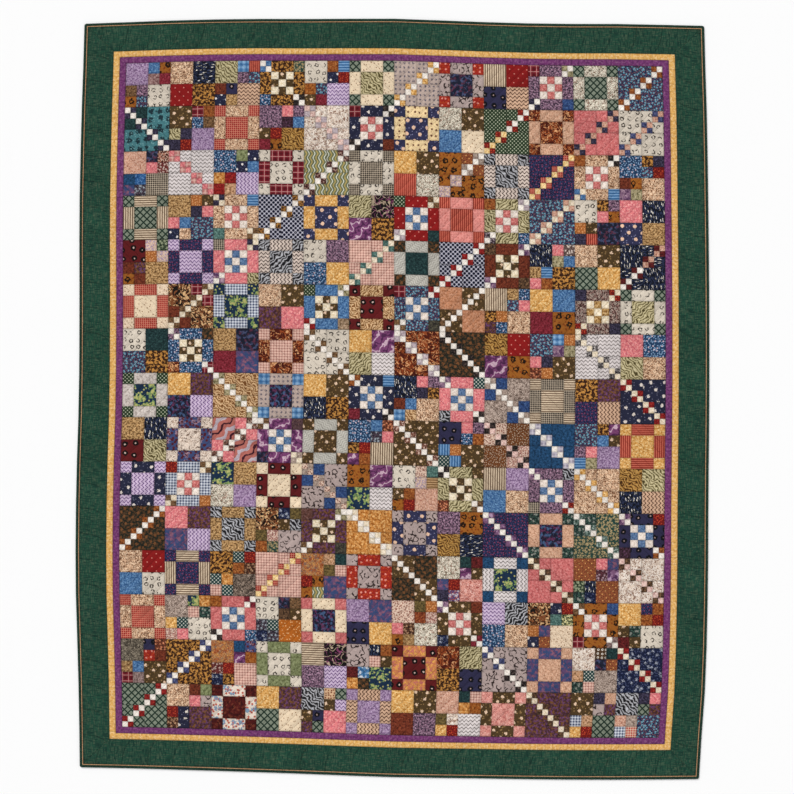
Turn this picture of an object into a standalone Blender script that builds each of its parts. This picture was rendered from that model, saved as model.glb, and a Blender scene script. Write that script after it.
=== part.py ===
"""Patchwork quilt, laid flat: pieced centre, purple, gold and green borders, flange and folded binding.

Sewn coordinates are those of the quilt as it was cut and sewn, a true rectangle centred on the origin.
lie() then moves every point to where the cloth comes to rest, with its gently wandering edges.
"""
import bisect
import math

import bmesh
import bpy

MM = 0.001

# Pieced centre: square blocks, joined in rows. Each block is four units wide.
BLOCK = 152.4 * MM
COLUMNS = 12
ROWS = 15
UNITS_IN_BLOCK = 4

# Borders from the centre outwards: how wide each shows along the long sides and along the two ends.
BORDERS = [
    {"name": "purple", "side": 22.5 * MM, "end": 22.0 * MM},
    {"name": "gold", "side": 21.5 * MM, "end": 20.5 * MM},
    {"name": "green", "side": 91.0 * MM, "end": 88.0 * MM},
    {"name": "flange", "side": 3.0 * MM, "end": 3.0 * MM},
    {"name": "binding", "side": 9.0 * MM, "end": 9.0 * MM},
]

# The quilt as it lies: overall size, and how far each edge strays outwards at nine even stations
# (long sides from foot to head, ends from left to right).
LAID_WIDTH = 2132.0 * MM
LAID_LENGTH = 2562.0 * MM
EDGE_STRAY_MM = {
    "left": [-3, 2, 11, 9, 0, -2, -2, -9, -19],
    "right": [-33, -12, -3, -1, 2, 2, -1, -6, -15],
    "foot": [-30, -24, -16, -7, 3, 7, 11, 12, 10],
    "head": [-15, -5, 1, 1, 2, -8, -15, -16, -22],
}

# Heights above the floor.
SEAM_HEIGHT = 3.6 * MM
PUFF_HEIGHT = 6.2 * MM
STRIP_CROWN = 5.4 * MM

# Neighbouring pieces stand this far apart; strips stop a little further short of a mitre.
GAP = 0.3 * MM
MITRE_GAP = 0.25 * MM

# Cross-sections of the strips: (distance from the strip's inner edge in mm, height in mm).
FLANGE_SECTION = [(0.15, 3.9), (2.85, 3.9), (2.85, 4.9), (0.6, 4.9)]
BINDING_SECTION = [
    (0.15, 3.9),
    (0.15, 4.7),
    (4.0, 5.3),
    (7.5, 5.0),
    (9.0, 3.8),
    (9.0, 1.4),
    (8.0, 0.0),
    (0.15, 0.0),
    (0.15, 1.0),
    (7.7, 1.0),
    (7.7, 3.9),
]

# The green strips run on under the flange and into the fold of the binding: how far beyond the
# green that shows, and its lifted underside there, as (distance beyond, height) in mm.
MARGIN = 10.4 * MM
MARGIN_UNDERSIDE = [(10.4, 1.3), (2.5, 1.3), (1.5, 0.0)]

# Quilting: straight channels across the blocks, turned-down rim, and arcs across the green border.
RIM = 7.0 * MM
ARC_PITCH = 87.0 * MM
ARC_DROP = 46.0 * MM
ARC_COLUMNS = [0.0, 0.06, 0.2, 0.45, 0.72, 1.0]

# Rows of blocks above this one lean one way, and the chevron turns here.
CHEVRON_ROW = 6
CHEVRON_CORNER = 8
CHEVRON_FOOT = 6

COLOURS = {
    "centre": (0.45, 0.33, 0.27, 1.0),
    "purple": (0.15, 0.03, 0.16, 1.0),
    "gold": (0.74, 0.39, 0.08, 1.0),
    "green": (0.014, 0.062, 0.042, 1.0),
    "flange": (0.35, 0.17, 0.08, 1.0),
    "binding": (0.008, 0.028, 0.020, 1.0),
}
CLOTH_ROUGHNESS = 0.9

CENTRE_WIDTH = COLUMNS * BLOCK
CENTRE_LENGTH = ROWS * BLOCK
SIDE_BORDER = sum(border["side"] for border in BORDERS)
END_BORDER = sum(border["end"] for border in BORDERS)
SEWN_WIDTH = CENTRE_WIDTH + 2 * SIDE_BORDER
SEWN_LENGTH = CENTRE_LENGTH + 2 * END_BORDER


def smooth_stray(table, fraction):
    """A smooth curve through an edge's stations, in metres."""
    last = len(table) - 1
    station = min(int(fraction * last), last - 1)
    t = fraction * last - station
    before = table[max(station - 1, 0)]
    a = table[station]
    b = table[station + 1]
    after = table[min(station + 2, last)]
    slope_a = (b - before) / 2
    slope_b = (after - a) / 2
    curve = (2 * t**3 - 3 * t**2 + 1) * a + (t**3 - 2 * t**2 + t) * slope_a
    curve += (-2 * t**3 + 3 * t**2) * b + (t**3 - t**2) * slope_b
    return curve * MM


def seam_lines(count, sewn_size):
    """Where block seams meet an edge: both corners of the quilt, and each seam between them."""
    inner = [(i - count / 2) * BLOCK for i in range(count + 1)]
    return [-sewn_size / 2] + inner + [sewn_size / 2]


SEAMS_ACROSS = seam_lines(COLUMNS, SEWN_WIDTH)
SEAMS_ALONG = seam_lines(ROWS, SEWN_LENGTH)


def stray(edge, place, seams):
    """How far an edge strays at a place along it: straight from one block seam to the next."""
    after = min(max(bisect.bisect_right(seams, place), 1), len(seams) - 1)
    start = seams[after - 1]
    end = seams[after]
    size = seams[-1] - seams[0]
    table = EDGE_STRAY_MM[edge]
    at_start = smooth_stray(table, (start - seams[0]) / size)
    at_end = smooth_stray(table, (end - seams[0]) / size)
    return at_start + (at_end - at_start) * (place - start) / (end - start)


def reach(edge, seams):
    """The furthest that an edge strays outwards."""
    return max(stray(edge, place, seams) for place in seams)


# The laid quilt is centred on the origin by its overall box.
CENTRE_X = (reach("right", SEAMS_ALONG) - reach("left", SEAMS_ALONG)) / 2
CENTRE_Y = (reach("head", SEAMS_ACROSS) - reach("foot", SEAMS_ACROSS)) / 2


def lie(x, y):
    """Where a point of the sewn quilt comes to lie."""
    left = -LAID_WIDTH / 2 - stray("left", y, SEAMS_ALONG)
    right = LAID_WIDTH / 2 + stray("right", y, SEAMS_ALONG)
    foot = -LAID_LENGTH / 2 - stray("foot", x, SEAMS_ACROSS)
    head = LAID_LENGTH / 2 + stray("head", x, SEAMS_ACROSS)
    across = x / SEWN_WIDTH + 0.5
    along = y / SEWN_LENGTH + 0.5
    return (left + (right - left) * across - CENTRE_X, foot + (head - foot) * along - CENTRE_Y)


def cloth(name):
    """Matt cotton in one colour."""
    material = bpy.data.materials.new(name)
    material.use_nodes = True
    shader = material.node_tree.nodes["Principled BSDF"]
    shader.inputs["Base Color"].default_value = COLOURS[name]
    shader.inputs["Roughness"].default_value = CLOTH_ROUGHNESS
    shader.inputs["Metallic"].default_value = 0.0
    material.diffuse_color = COLOURS[name]
    return material


def lay_down(shape, name, material):
    """Move a sewn shape to where it lies, and make it an object."""
    for vertex in shape.verts:
        vertex.co.x, vertex.co.y = lie(vertex.co.x, vertex.co.y)
    bmesh.ops.recalc_face_normals(shape, faces=shape.faces)
    mesh = bpy.data.meshes.new(name)
    shape.to_mesh(mesh)
    shape.free()
    mesh.materials.append(material)
    bpy.context.scene.collection.objects.link(bpy.data.objects.new(name, mesh))


def leans_right(row, column):
    """Whether a block's quilting runs up to the right; the two ways meet in a wide chevron."""
    if row <= CHEVRON_ROW:
        return row + column >= CHEVRON_CORNER
    return row - column >= CHEVRON_FOOT


def channel_ends(step, steps, width):
    """The two ends of a diagonal channel line across a square of the given width."""
    offset = step * width / steps
    if step >= 0:
        return (offset, 0.0), (width, width - offset)
    return (0.0, -offset), (width + offset, width)


def quilted_block(shape, corner_x, corner_y, width, length, right):
    """One block's top, folded into diagonal channels: even lines are stitched down, odd ones puff."""
    steps = 2 * UNITS_IN_BLOCK
    lines = []
    for step in range(-steps, steps + 1):
        height = SEAM_HEIGHT if step % 2 == 0 else PUFF_HEIGHT
        line = []
        for along, up in channel_ends(step, steps, 1.0):
            across = along if right else 1.0 - along
            line.append(shape.verts.new((corner_x + across * width, corner_y + up * length, height)))
        lines.append(line)
    for lower, upper in zip(lines, lines[1:]):
        shape.faces.new((lower[0], lower[1], upper[1], upper[0]))


def close_below(shape):
    """Drop walls from the open rim of a top to the floor, and close the flat underside."""
    rim = [edge for edge in shape.edges if edge.is_boundary]
    walls = bmesh.ops.extrude_edge_only(shape, edges=rim)["geom"]
    for item in walls:
        if isinstance(item, bmesh.types.BMVert):
            item.co.z = 0.0
    bottom = [item for item in walls if isinstance(item, bmesh.types.BMEdge) and item.is_boundary]
    bmesh.ops.contextual_create(shape, geom=bottom)


def pieced_centre():
    """The whole pieced centre: channels over every block, and a rim turned down to the border seam."""
    half_width = CENTRE_WIDTH / 2 - GAP / 2
    half_length = CENTRE_LENGTH / 2 - GAP / 2
    rim_x = (half_width - RIM) / (CENTRE_WIDTH / 2)
    rim_y = (half_length - RIM) / (CENTRE_LENGTH / 2)
    shape = bmesh.new()
    for row in range(1, ROWS + 1):
        for column in range(1, COLUMNS + 1):
            corner_x = SEAMS_ACROSS[column] * rim_x
            corner_y = SEAMS_ALONG[ROWS + 1 - row] * rim_y
            quilted_block(shape, corner_x, corner_y, BLOCK * rim_x, BLOCK * rim_y, leans_right(row, column))
    bmesh.ops.remove_doubles(shape, verts=shape.verts, dist=0.1 * MM)
    turned = bmesh.ops.extrude_edge_only(shape, edges=[e for e in shape.edges if e.is_boundary])["geom"]
    for item in turned:
        if isinstance(item, bmesh.types.BMVert):
            item.co.x *= half_width / (half_width - RIM)
            item.co.y *= half_length / (half_length - RIM)
            item.co.z = SEAM_HEIGHT
    close_below(shape)
    lay_down(shape, "patchwork_centre", cloth("centre"))


SIDES = {"left": (-1, 0), "right": (1, 0), "foot": (0, -1), "head": (0, 1)}
BORDER_ORDER = [border["name"] for border in BORDERS]


def ring_half_size(index, across):
    """Half width and half length of the rectangle at a fraction across a border, inner edge to outer."""
    inner_x = CENTRE_WIDTH / 2 + sum(border["side"] for border in BORDERS[:index])
    inner_y = CENTRE_LENGTH / 2 + sum(border["end"] for border in BORDERS[:index])
    return (inner_x + BORDERS[index]["side"] * across, inner_y + BORDERS[index]["end"] * across)


def border_width(side, index):
    """How wide a border shows on one side of the quilt."""
    return BORDERS[index]["side" if SIDES[side][0] else "end"]


def border_place(side, index, distance, along):
    """A sewn point on one side of a border; one past the mitre or the last seam allowance is brought back."""
    side_x, side_y = SIDES[side]
    half_x, half_y = ring_half_size(index, distance / border_width(side, index))
    edge_x, edge_y = ring_half_size(index, 1.0)
    if side_x:
        limit = min(half_y - MITRE_GAP, edge_y + MARGIN)
        return side_x * half_x, max(-limit, min(limit, along))
    limit = min(half_x - MITRE_GAP, edge_x + MARGIN)
    return max(-limit, min(limit, along)), side_y * half_y


def seams_of(side):
    """The block seams along a side, with the quilt's corners."""
    return SEAMS_ALONG if SIDES[side][0] else SEAMS_ACROSS


def join_rings(shape, rings):
    """Skin a row of closed rings, and close both ends."""
    count = len(rings[0])
    for ring, following in zip(rings, rings[1:]):
        for i in range(count):
            j = (i + 1) % count
            shape.faces.new((ring[i], ring[j], following[j], following[i]))
    shape.faces.new(rings[0])
    shape.faces.new(rings[-1])


def section_strip(side, index, section, material):
    """A mitred strip of one closed cross-section."""
    shape = bmesh.new()
    rings = []
    for along in seams_of(side):
        ring = []
        for distance, height in section:
            x, y = border_place(side, index, distance * MM, along)
            ring.append(shape.verts.new((x, y, height * MM)))
        rings.append(ring)
    join_rings(shape, rings)
    lay_down(shape, f"{BORDER_ORDER[index]}_{side}", material)


def section_border(name, section):
    """Four mitred strips of one closed cross-section."""
    material = cloth(name)
    for side in SIDES:
        section_strip(side, BORDER_ORDER.index(name), section, material)


def narrow_border(name):
    """Four mitred strips of a narrow border, each softly crowned between its seams."""
    index = BORDER_ORDER.index(name)
    material = cloth(name)
    for side in SIDES:
        width = border_width(side, index) / MM
        edge = GAP / 2 / MM
        seam = SEAM_HEIGHT / MM
        crown = STRIP_CROWN / MM
        top = [(width - edge, seam), (width * 0.72, crown), (width * 0.28, crown), (edge, seam)]
        section_strip(side, index, [(edge, 0.0), (width - edge, 0.0)] + top, material)


def arc_rise(across):
    """How far an arc of quilting has swept along the border at a fraction across it."""
    return ARC_DROP * math.sqrt(1.0 - (1.0 - across) ** 2)


def arc_ring(shape, side, index, start, stitched):
    """One closed ring round a green strip whose top follows an arc of quilting."""
    side_x, side_y = SIDES[side]
    turn = -side_x if side_x else side_y
    width = border_width(side, index)
    top = [(max(across * width, GAP / 2), arc_rise(across)) for across in ARC_COLUMNS]
    top.append((width + MARGIN, ARC_DROP))
    ring = []
    for column, (distance, rise) in enumerate(top):
        along = start + turn * rise
        x, y = border_place(side, index, distance, along)
        at_mitre = abs((y if side_x else x) - along) > GAP / 10
        puffed = 0 < column < len(top) - 2 and not stitched and not at_mitre
        ring.append(shape.verts.new((x, y, PUFF_HEIGHT if puffed else SEAM_HEIGHT)))
    for beyond, height in MARGIN_UNDERSIDE:
        x, y = border_place(side, index, width + beyond * MM, start + turn * ARC_DROP)
        ring.append(shape.verts.new((x, y, height * MM)))
    x, y = border_place(side, index, GAP / 2, start)
    ring.append(shape.verts.new((x, y, 0.0)))
    return ring


def green_strip(side, index, material):
    """One green strip: arcs of quilting, every other ring stitched down and the next one puffed."""
    reach_needed = seams_of(side)[-1] + ARC_DROP
    rings_each_way = math.ceil(2 * reach_needed / ARC_PITCH)
    shape = bmesh.new()
    rings = []
    for step in range(-rings_each_way, rings_each_way + 1):
        rings.append(arc_ring(shape, side, index, step * ARC_PITCH / 2, step % 2 == 0))
    join_rings(shape, rings)
    bmesh.ops.remove_doubles(shape, verts=shape.verts, dist=0.1 * MM)
    normal = (0.0, 1.0, 0.0) if SIDES[side][0] else (1.0, 0.0, 0.0)
    for seam in seams_of(side)[1:-1]:
        place = [seam * part for part in normal]
        everything = shape.verts[:] + shape.edges[:] + shape.faces[:]
        bmesh.ops.bisect_plane(shape, geom=everything, dist=0.01 * MM, plane_co=place, plane_no=normal)
    lay_down(shape, f"{BORDER_ORDER[index]}_{side}", material)


def green_border():
    """Four wide mitred strips, quilted in arcs."""
    material = cloth("green")
    for side in SIDES:
        green_strip(side, BORDER_ORDER.index("green"), material)


for leftover in list(bpy.data.objects):
    bpy.data.objects.remove(leftover, do_unlink=True)
pieced_centre()
narrow_border("purple")
narrow_border("gold")
green_border()
section_border("flange", FLANGE_SECTION)
section_border("binding", BINDING_SECTION)
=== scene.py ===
"""A patchwork quilt spread flat: printed cotton blocks quilted in channels, three mitred borders,
a narrow flange and a folded binding. Lengths are in metres unless a line says otherwise."""

import math

import bmesh
import bpy
import numpy as np
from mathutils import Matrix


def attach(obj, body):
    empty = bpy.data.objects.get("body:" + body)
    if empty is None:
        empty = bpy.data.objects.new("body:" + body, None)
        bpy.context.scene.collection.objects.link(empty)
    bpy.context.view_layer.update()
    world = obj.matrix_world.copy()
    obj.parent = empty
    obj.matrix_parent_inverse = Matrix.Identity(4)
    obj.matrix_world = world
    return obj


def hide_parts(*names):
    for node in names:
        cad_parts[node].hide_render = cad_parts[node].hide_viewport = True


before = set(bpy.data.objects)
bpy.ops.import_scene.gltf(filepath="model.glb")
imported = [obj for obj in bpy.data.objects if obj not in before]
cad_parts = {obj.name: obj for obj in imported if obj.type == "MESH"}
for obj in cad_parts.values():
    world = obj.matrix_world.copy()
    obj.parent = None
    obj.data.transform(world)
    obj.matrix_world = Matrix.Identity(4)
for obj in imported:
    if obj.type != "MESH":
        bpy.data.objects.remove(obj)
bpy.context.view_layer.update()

MM = 0.001


# ---- The patchwork -------------------------------------------------------------------------------
# Fifteen rows of twelve square blocks, each block pieced from printed cotton scraps by the quarter,
# the unit and the half unit. The rows are sewn together, laid on wadding and a plain cotton back,
# and held by machine stitching in straight slanting channels, which the washed cloth puffs between.

BLOCK = 152.4 * MM
COLUMNS = 12
ROWS = 15
CENTRE_WIDTH = COLUMNS * BLOCK
CENTRE_LENGTH = ROWS * BLOCK

# Sewn width of each border along the two sides and along the two ends, from the centre outwards.
BORDER_WIDTHS = {
    "purple": (22.5 * MM, 22.0 * MM),
    "gold": (21.5 * MM, 20.5 * MM),
    "green": (91.0 * MM, 88.0 * MM),
    "flange": (3.0 * MM, 3.0 * MM),
    "binding": (9.0 * MM, 9.0 * MM),
}
SEWN_WIDTH = CENTRE_WIDTH + 2 * sum(side for side, end in BORDER_WIDTHS.values())
SEWN_LENGTH = CENTRE_LENGTH + 2 * sum(end for side, end in BORDER_WIDTHS.values())

# Size of the quilt as it lies, how far each edge strays outwards at nine even stations (sides from
# foot to head, ends from left to right), and how softly its corners turn.
LAID_WIDTH = 2132.0 * MM
LAID_LENGTH = 2562.0 * MM
EDGE_STRAY_MM = {
    "left": [-3, 2, 11, 9, 0, -2, -2, -9, -19],
    "right": [-33, -12, -3, -1, 2, 2, -1, -6, -15],
    "foot": [-30, -24, -16, -7, 3, 7, 11, 12, 10],
    "head": [-15, -5, 1, 1, 2, -8, -15, -16, -22],
}
CORNER_ROUND = 7.0 * MM


def seam_lines(count, sewn_size):
    """Where block seams meet an edge: both corners of the quilt, and each seam between them."""
    inner = [(i - count / 2) * BLOCK for i in range(count + 1)]
    return np.array([-sewn_size / 2] + inner + [sewn_size / 2])


SEAMS_ACROSS = seam_lines(COLUMNS, SEWN_WIDTH)
SEAMS_ALONG = seam_lines(ROWS, SEWN_LENGTH)


def stray_at_seams(table, seams):
    """A smooth curve through an edge's stations, read at each seam."""
    last = len(table) - 1
    place = (seams - seams[0]) / (seams[-1] - seams[0]) * last
    station = np.minimum(place.astype(int), last - 1)
    t = place - station
    table = np.array(table, float)
    before = table[np.maximum(station - 1, 0)]
    a = table[station]
    b = table[station + 1]
    after = table[np.minimum(station + 2, last)]
    curve = (2 * t**3 - 3 * t**2 + 1) * a + (t**3 - 2 * t**2 + t) * (b - before) / 2
    curve += (3 * t**2 - 2 * t**3) * b + (t**3 - t**2) * (after - a) / 2
    return curve * MM


STRAY = {
    edge: stray_at_seams(table, SEAMS_ALONG if edge in ("left", "right") else SEAMS_ACROSS)
    for edge, table in EDGE_STRAY_MM.items()
}
CENTRE_X = (STRAY["right"].max() - STRAY["left"].max()) / 2
CENTRE_Y = (STRAY["head"].max() - STRAY["foot"].max()) / 2


def round_corner(x, y):
    """Ease points near a corner of the quilt from its square onto a soft round."""
    over_x = np.maximum(np.abs(x) - (SEWN_WIDTH / 2 - CORNER_ROUND), 0.0)
    over_y = np.maximum(np.abs(y) - (SEWN_LENGTH / 2 - CORNER_ROUND), 0.0)
    reach = np.hypot(over_x, over_y)
    pull = np.maximum(over_x, over_y) / np.where(reach > 0, reach, 1.0)
    pull = np.where((over_x > 0) & (over_y > 0), pull, 1.0)
    return x - np.sign(x) * over_x * (1 - pull), y - np.sign(y) * over_y * (1 - pull)


def lie(x, y):
    """Where points of the sewn quilt come to lie."""
    x, y = round_corner(x, y)
    left = -LAID_WIDTH / 2 - np.interp(y, SEAMS_ALONG, STRAY["left"])
    right = LAID_WIDTH / 2 + np.interp(y, SEAMS_ALONG, STRAY["right"])
    foot = -LAID_LENGTH / 2 - np.interp(x, SEAMS_ACROSS, STRAY["foot"])
    head = LAID_LENGTH / 2 + np.interp(x, SEAMS_ACROSS, STRAY["head"])
    across = x / SEWN_WIDTH + 0.5
    along = y / SEWN_LENGTH + 0.5
    return left + (right - left) * across - CENTRE_X, foot + (head - foot) * along - CENTRE_Y


# How each block is cut, row by row from the head. Letters: S two plain quarters and two of four
# squares; Q four quarters; F corners, sides and a middle; N the same round a nine-patch; D and U
# chains of small squares running down or up to the right. A star turns a cloth's print a quarter.
#   S top-left bottom-right : four squares of the top-right quarter : four of the bottom-left
#   Q top-left top-right bottom-left bottom-right
#   F corners sides (middle, where it isn't the corners' cloth)
#   ND, NU nine-patch sides first-corner second-corner : light dark : light dark
#   D, U large-squares (small-squares, upper and lower) : light dark : light dark
# The upper chain's two cloths come first. They are given once where the lower chain has them too.
# A line that starts with a colon carries on the one above.
BLOCK_CHART = """
S lavender-speckle cream-rings : blue rust-paw taupe maroon : brown plum rust-paw teal-floral
Q tan-scribble navy-fish* red-dots leopard
S sage-waves tan-zigzag : blue-plaid red-stripe plum teal-floral
: rust-brown navy-ring navy-dot tan-leaf
ND brown leopard green-floral blue-floral : white blue : white black
S cream-rings lavender-zigzag : rust blue-stripe navy-dot red
: rust-orange teal-floral brown-buds maroon
F green-lattice ivory sage-waves
U taupe-buds : white gold
F red-floral taupe-strokes navy-batik
Q ticking red-dots navy-ring tan-zigzag
NU pink plum maroon-plaid royal-blue : white sage : white navy
F green-lattice cream-scribble
U teal-floral : white rust

D teal-blotch dark-teal teal-blotch : white navy
S brown-buds lavender-speckle : maroon-plaid rust blue-floral brown : sage-waves navy navy red
F red-check tan-scribble
S plum olive-swirl : pink plum dark-plum blue : brown-buds red maroon rust-paw
D cream-leaf-scribble : pale-pink lilac
NU pink navy-buds maroon-plaid rust-brown : white black
F navy-berries cream-dots
Q cream-scribble brown-buds blue ivory
U green-dot-lattice : white red : yellow red
F rust-paisley peach-tweed
U dusty-pink : peach navy
U cream-rings : peach navy-blue

S peach black-gingham : navy-batik brown-paisley pink mauve-floral
: deep-blue blue-blotch blue-purple-batik dark-floral
D white-zigzag : pink pale-pink-plaid
S blue-floral lavender-zigzag* : sage-green navy-dot navy-dot blue
: gold-orange dark-red dark-red tan
F cream-rings maroon-plaid
U green-serpentine : white dark-maroon
F black-gingham cream-rings
Q gold brown-buds red-stripe cream-scribble
U rust-paw rust-dots rust-paw : white fawn : lilac-floral lilac-floral
F zebra bw-zigzag
U navy-purple-dots : yellow red-check
NU pink tan-scribble rust blue-stripe : white black : cream blue
S blue-floral tan-scribble : leopard navy teal-floral red : rust-brown rust-paw purple sage

F green-lattice ticking*
S tan-leaf teal-floral : orange brown-buds navy pink : pink blue navy-dot tan-scribble
ND pink tan-scribble blue-stripe teal : cream navy : cream brown
U navy-houndstooth : white brown-rust
F navy-berries gold
Q sage-waves* black-flame purple-marble leopard
NU blue red-dots green-dot-lattice dark-teal : cream brown : white lilac
F red-stripe pink-stamp
NU pink sage-waves* rust blue-floral : white lilac : white purple-black
U teal-floral : cream peach
S cream-rings navy-batik : leopard plum pink rust-paw : orange brown-buds navy red-stripe
Q pink navy-fish navy-berries tan-leaf

S burgundy-rings tan-leaf : lilac-floral green-leaf orange lilac-floral
: rust-brown plum-batik rust-paw rust-brown
F lavender-zigzag navy-purple-dots
NU blue pink black-gingham sage-waves : cream navy : white purple
F zebra* bw-zigzag
Q cream-rings plum blue-floral gold
U pink-weave : cream teal
F dark-brown-spot pale-grey-stripe dark-teal
U navy-houndstooth : white dark-red
NU brown rust-brown dark-brown dark-brown : white purple
S navy-fish leopard : pink grey-brown-floral sage blue : tan-leaf blue-stripe pink rust
Q tan-scribble brown-buds green-lattice gold
U navy-fish navy-fish* : peach burgundy : white burgundy

F ivory-dots red-check ivory
U black-tan-floral maroon-plaid rust-brown : cream brown
F green-leaf-navy blue-basket
Q tan-scribble brown-buds plum-batik pink
NU brown blue green-dot-lattice taupe-brown : white sage : white dark-red
F burgundy-rings tan-waves*
NU blue teal-floral maroon-plaid grey-green : white dark-red : white brown
U peach-brown brown-buds : white brown
S ticking tan-scribble : tan-leaf blue-floral teal-floral pink
: leopard orange plum-batik blue-floral
Q gold blue maroon rust-paw
NU gold-brown grey-red-floral navy navy : butter red
F green-lattice cream-rings sage-waves*

Q cream-rings dark-teal teal-floral leopard
ND brown blue-floral dark-brown-spot rust-paisley : white plum : white maroon-plaid
Q tan-leaf navy-batik maroon blue-purple-batik
F pink-weave rust-paisley
D cream-rings : white brown
Q gold purple-marble sage-waves* white-zigzag
D rust-paisley : white lilac
D dark-brown-spot : white black
Q olive-swirl red-dots purple-marble rust-paw
S teal-floral brown-buds : blue-plaid orange purple sage : pink navy rust-floral orange
D white-zigzag : cream grey-black
Q pink blue-floral sage-waves tan-scribble

F green-dot-lattice pale-rose-grey green-leaf-navy
Q gold plum-batik dark-navy-batik lavender-zigzag*
D tan-waves : white sage
F blue-plaid taupe-buds dark-navy-batik
Q gold brown-buds navy-fish leopard
ND blue navy-buds blue-stripe maroon : white rust : white black
S navy-fish tan-scribble : pink plum navy leopard : rust-brown blue blue-plaid tan-waves
ND blue pink teal-check zebra : white purple : white black
D taupe-floral royal-blue : white fawn
F ticking* black-gingham
Q leopard plum-batik navy-purple-dots tan-zigzag*
D navy-buds : cream dark-red

Q tan-leaf navy-fish burgundy-rings sage-waves
F cream-line-print blue-burgundy-floral
U mauve-wave pink : white brown-black
ND blue purple-marble dark-taupe navy-batik : white brown : cream fawn
F brown-buds pale-grey-stripe
S blue-floral ticking : blue rust-floral dark-floral pink : leopard red purple-marble rust
D brown-buds : white peach-rust
S navy-ring brown-buds : pink plum blue-floral rust : blue-stripe* orange teal-check blue-stripe*
D rust-speckle peach-floral pink-floral : pale-pink black
D deep-blue : white lavender-plaid
S teal-floral lavender-speckle : leopard purple-marble blue brown-buds : plum pink blue-stripe sage
F gold red-stripe*

F lavender-zigzag navy-buds lavender-zigzag*
NU pink blue-basket red orange : cream brown
Q green-leaf-navy tan-leaf cream-scribble lavender-speckle
F ivory burgundy-rings
D taupe-strokes royal-blue : peach-floral fawn
Q rust-paw purple-marble green-leaf-navy white-zigzag
S cream-rings peach : peach-floral teal lilac-floral tan-brown-stripe : brown-buds rust rust-paw red
ND brown sage-waves* brown-buds rust-floral : white black : white brown
Q ticking lavender-speckle blue tan-scribble
ND blue plum zebra black-gingham : white purple : white red
D tan-scribble : white gold
Q olive-swirl sage-waves navy-fish tan-zigzag*

U dark-brown-spot : white rust
Q pink plum-batik blue-purple-batik lavender-zigzag*
F zebra tan-leaf
S black-tan-floral taupe-strokes : navy-floral olive-brown brown-buds zebra
: olive-brown pink-floral rust green-floral
NU brown plum-batik plum-brown grey-green : white sage : white brown
D gold-orange : white cream
F taupe-strokes navy-berries
Q plum rust-paw olive-swirl navy-fish*
D navy-purple-dots : white mauve
F dark-green-floral peach-tweed dark-navy-batik
D green-floral dark-green-floral green-floral : white green-speckle
ND blue navy-ring red dark-plum : white purple : white rust

Q tan-scribble red-dots blue cream-rings
F navy-purple-dots ticking*
S leopard taupe-scribble : teal-check red rust brown-floral
: teal-check gold-orange pink-weave teal-check
U pink-weave : yellow red-check
S orange-paisley blue-purple-batik : tan dark-teal olive-brown pink-weave
: red rust-paw rust-paw green-serpentine
F taupe-strokes red-floral
D dark-brown-spot brown-buds : white brown
S cream-scribble salmon-squiggle : dark-teal burgundy purple-marble brown-buds
: blue-purple-batik red navy red-blue-floral
F deep-blue white-zigzag green-leaf-navy
D dusty-pink : cream dark-brown
S rust-dots rust-dots : pink blue-purple-batik burgundy-floral mauve
: green-leaf navy-fish dark-green-floral navy-floral
D cream-leaf-scribble : pale-pink dark-brown

F red-check tan-scribble
S taupe-floral cream-rings : green-leaf-navy gold-orange pink-weave dark-green-floral
: gold teal-check pink-floral pink
NU blue dusty-pink rust-orange blue-floral : white maroon : white black
S cream-rings orange-dots : navy-batik brown dark-brown brown-buds
: dark-floral teal-check navy-floral dark-floral
F dusty-pink ivory dark-navy-batik
Q lavender-speckle blue-purple-batik navy-ring gold
S peach-floral cream-scribble : olive-brown orange rust-red pink-floral
: pink brown-floral rust-paw tan-brown
ND pink brown-buds rust-brown navy-floral : white purple : white maroon
Q lavender-zigzag zebra* blue-floral tan-scribble
S black-tan-floral ivory-dots : navy-buds red teal yellow-leaf
: orange blue-purple-batik navy-buds rust-dots
ND pink rust-paw royal-blue maroon-plaid : white brown : white mauve-grey
S gold cream-rings : navy-purple-dots rust rust red
: brown-buds dark-green-floral burgundy brown-buds

S grey-brown-scribble brown-buds : navy-ring rust-floral red-floral rust-brown
: tan-brown blue maroon-plaid mauve-grey
U leopard : white navy-blue
S orange-paisley pink-weave : deep-blue blue-burgundy-floral purple-marble rust-orange
: mauve-floral red navy-floral leopard
F cream-rings sage-green
Q ticking* black-flame plum lavender-zigzag
S taupe-strokes green-leaf-navy : navy-fish rust pink-weave brown-buds
: burgundy blue-cloud gold-orange dark-brown-spot
F burgundy-rings orange-pink-batik
Q rust-paisley sage-waves* leopard navy-ring
D taupe-strokes : white navy-blue : white black
F peach-tweed blue-purple-batik
S cream-leaf-scribble taupe-floral : brown-rings dark-teal navy-batik rust-dots
: tan teal-check dark-green-floral pink-weave
D navy-floral : cream dark-red

U green-lattice : white dark-red
S tan-scribble plum-batik : rust-brown sage-green pink taupe-strokes
: red navy-buds brown-floral navy-buds
F burgundy-brown cream-coral-floral
Q gold plum-batik green-lattice ivory
S zebra pink : cream-rust-dots green-lattice brown-buds lavender-zigzag
: brown-buds navy-ring plum-batik green-lattice
F lavender-speckle tan-zigzag*
Q gold brown-buds rust-brown plum
S peach white-zigzag : dark-teal pink-weave gold-orange rust-orange
: olive-brown cream-leaf-scribble gold red
F salmon brown-buds
D plum-batik : cream dark-brown
S brown-buds green-lattice : navy peach-tweed taupe-strokes plum-batik : blue-basket tan gold red
S zebra teal-floral : navy pink green-lattice plum-batik : peach fawn blue-basket red-cream-check
"""
NINE_PATCH = {"pink": ("rose", "shell"), "blue": ("sky-blue", "shell")}


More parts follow.
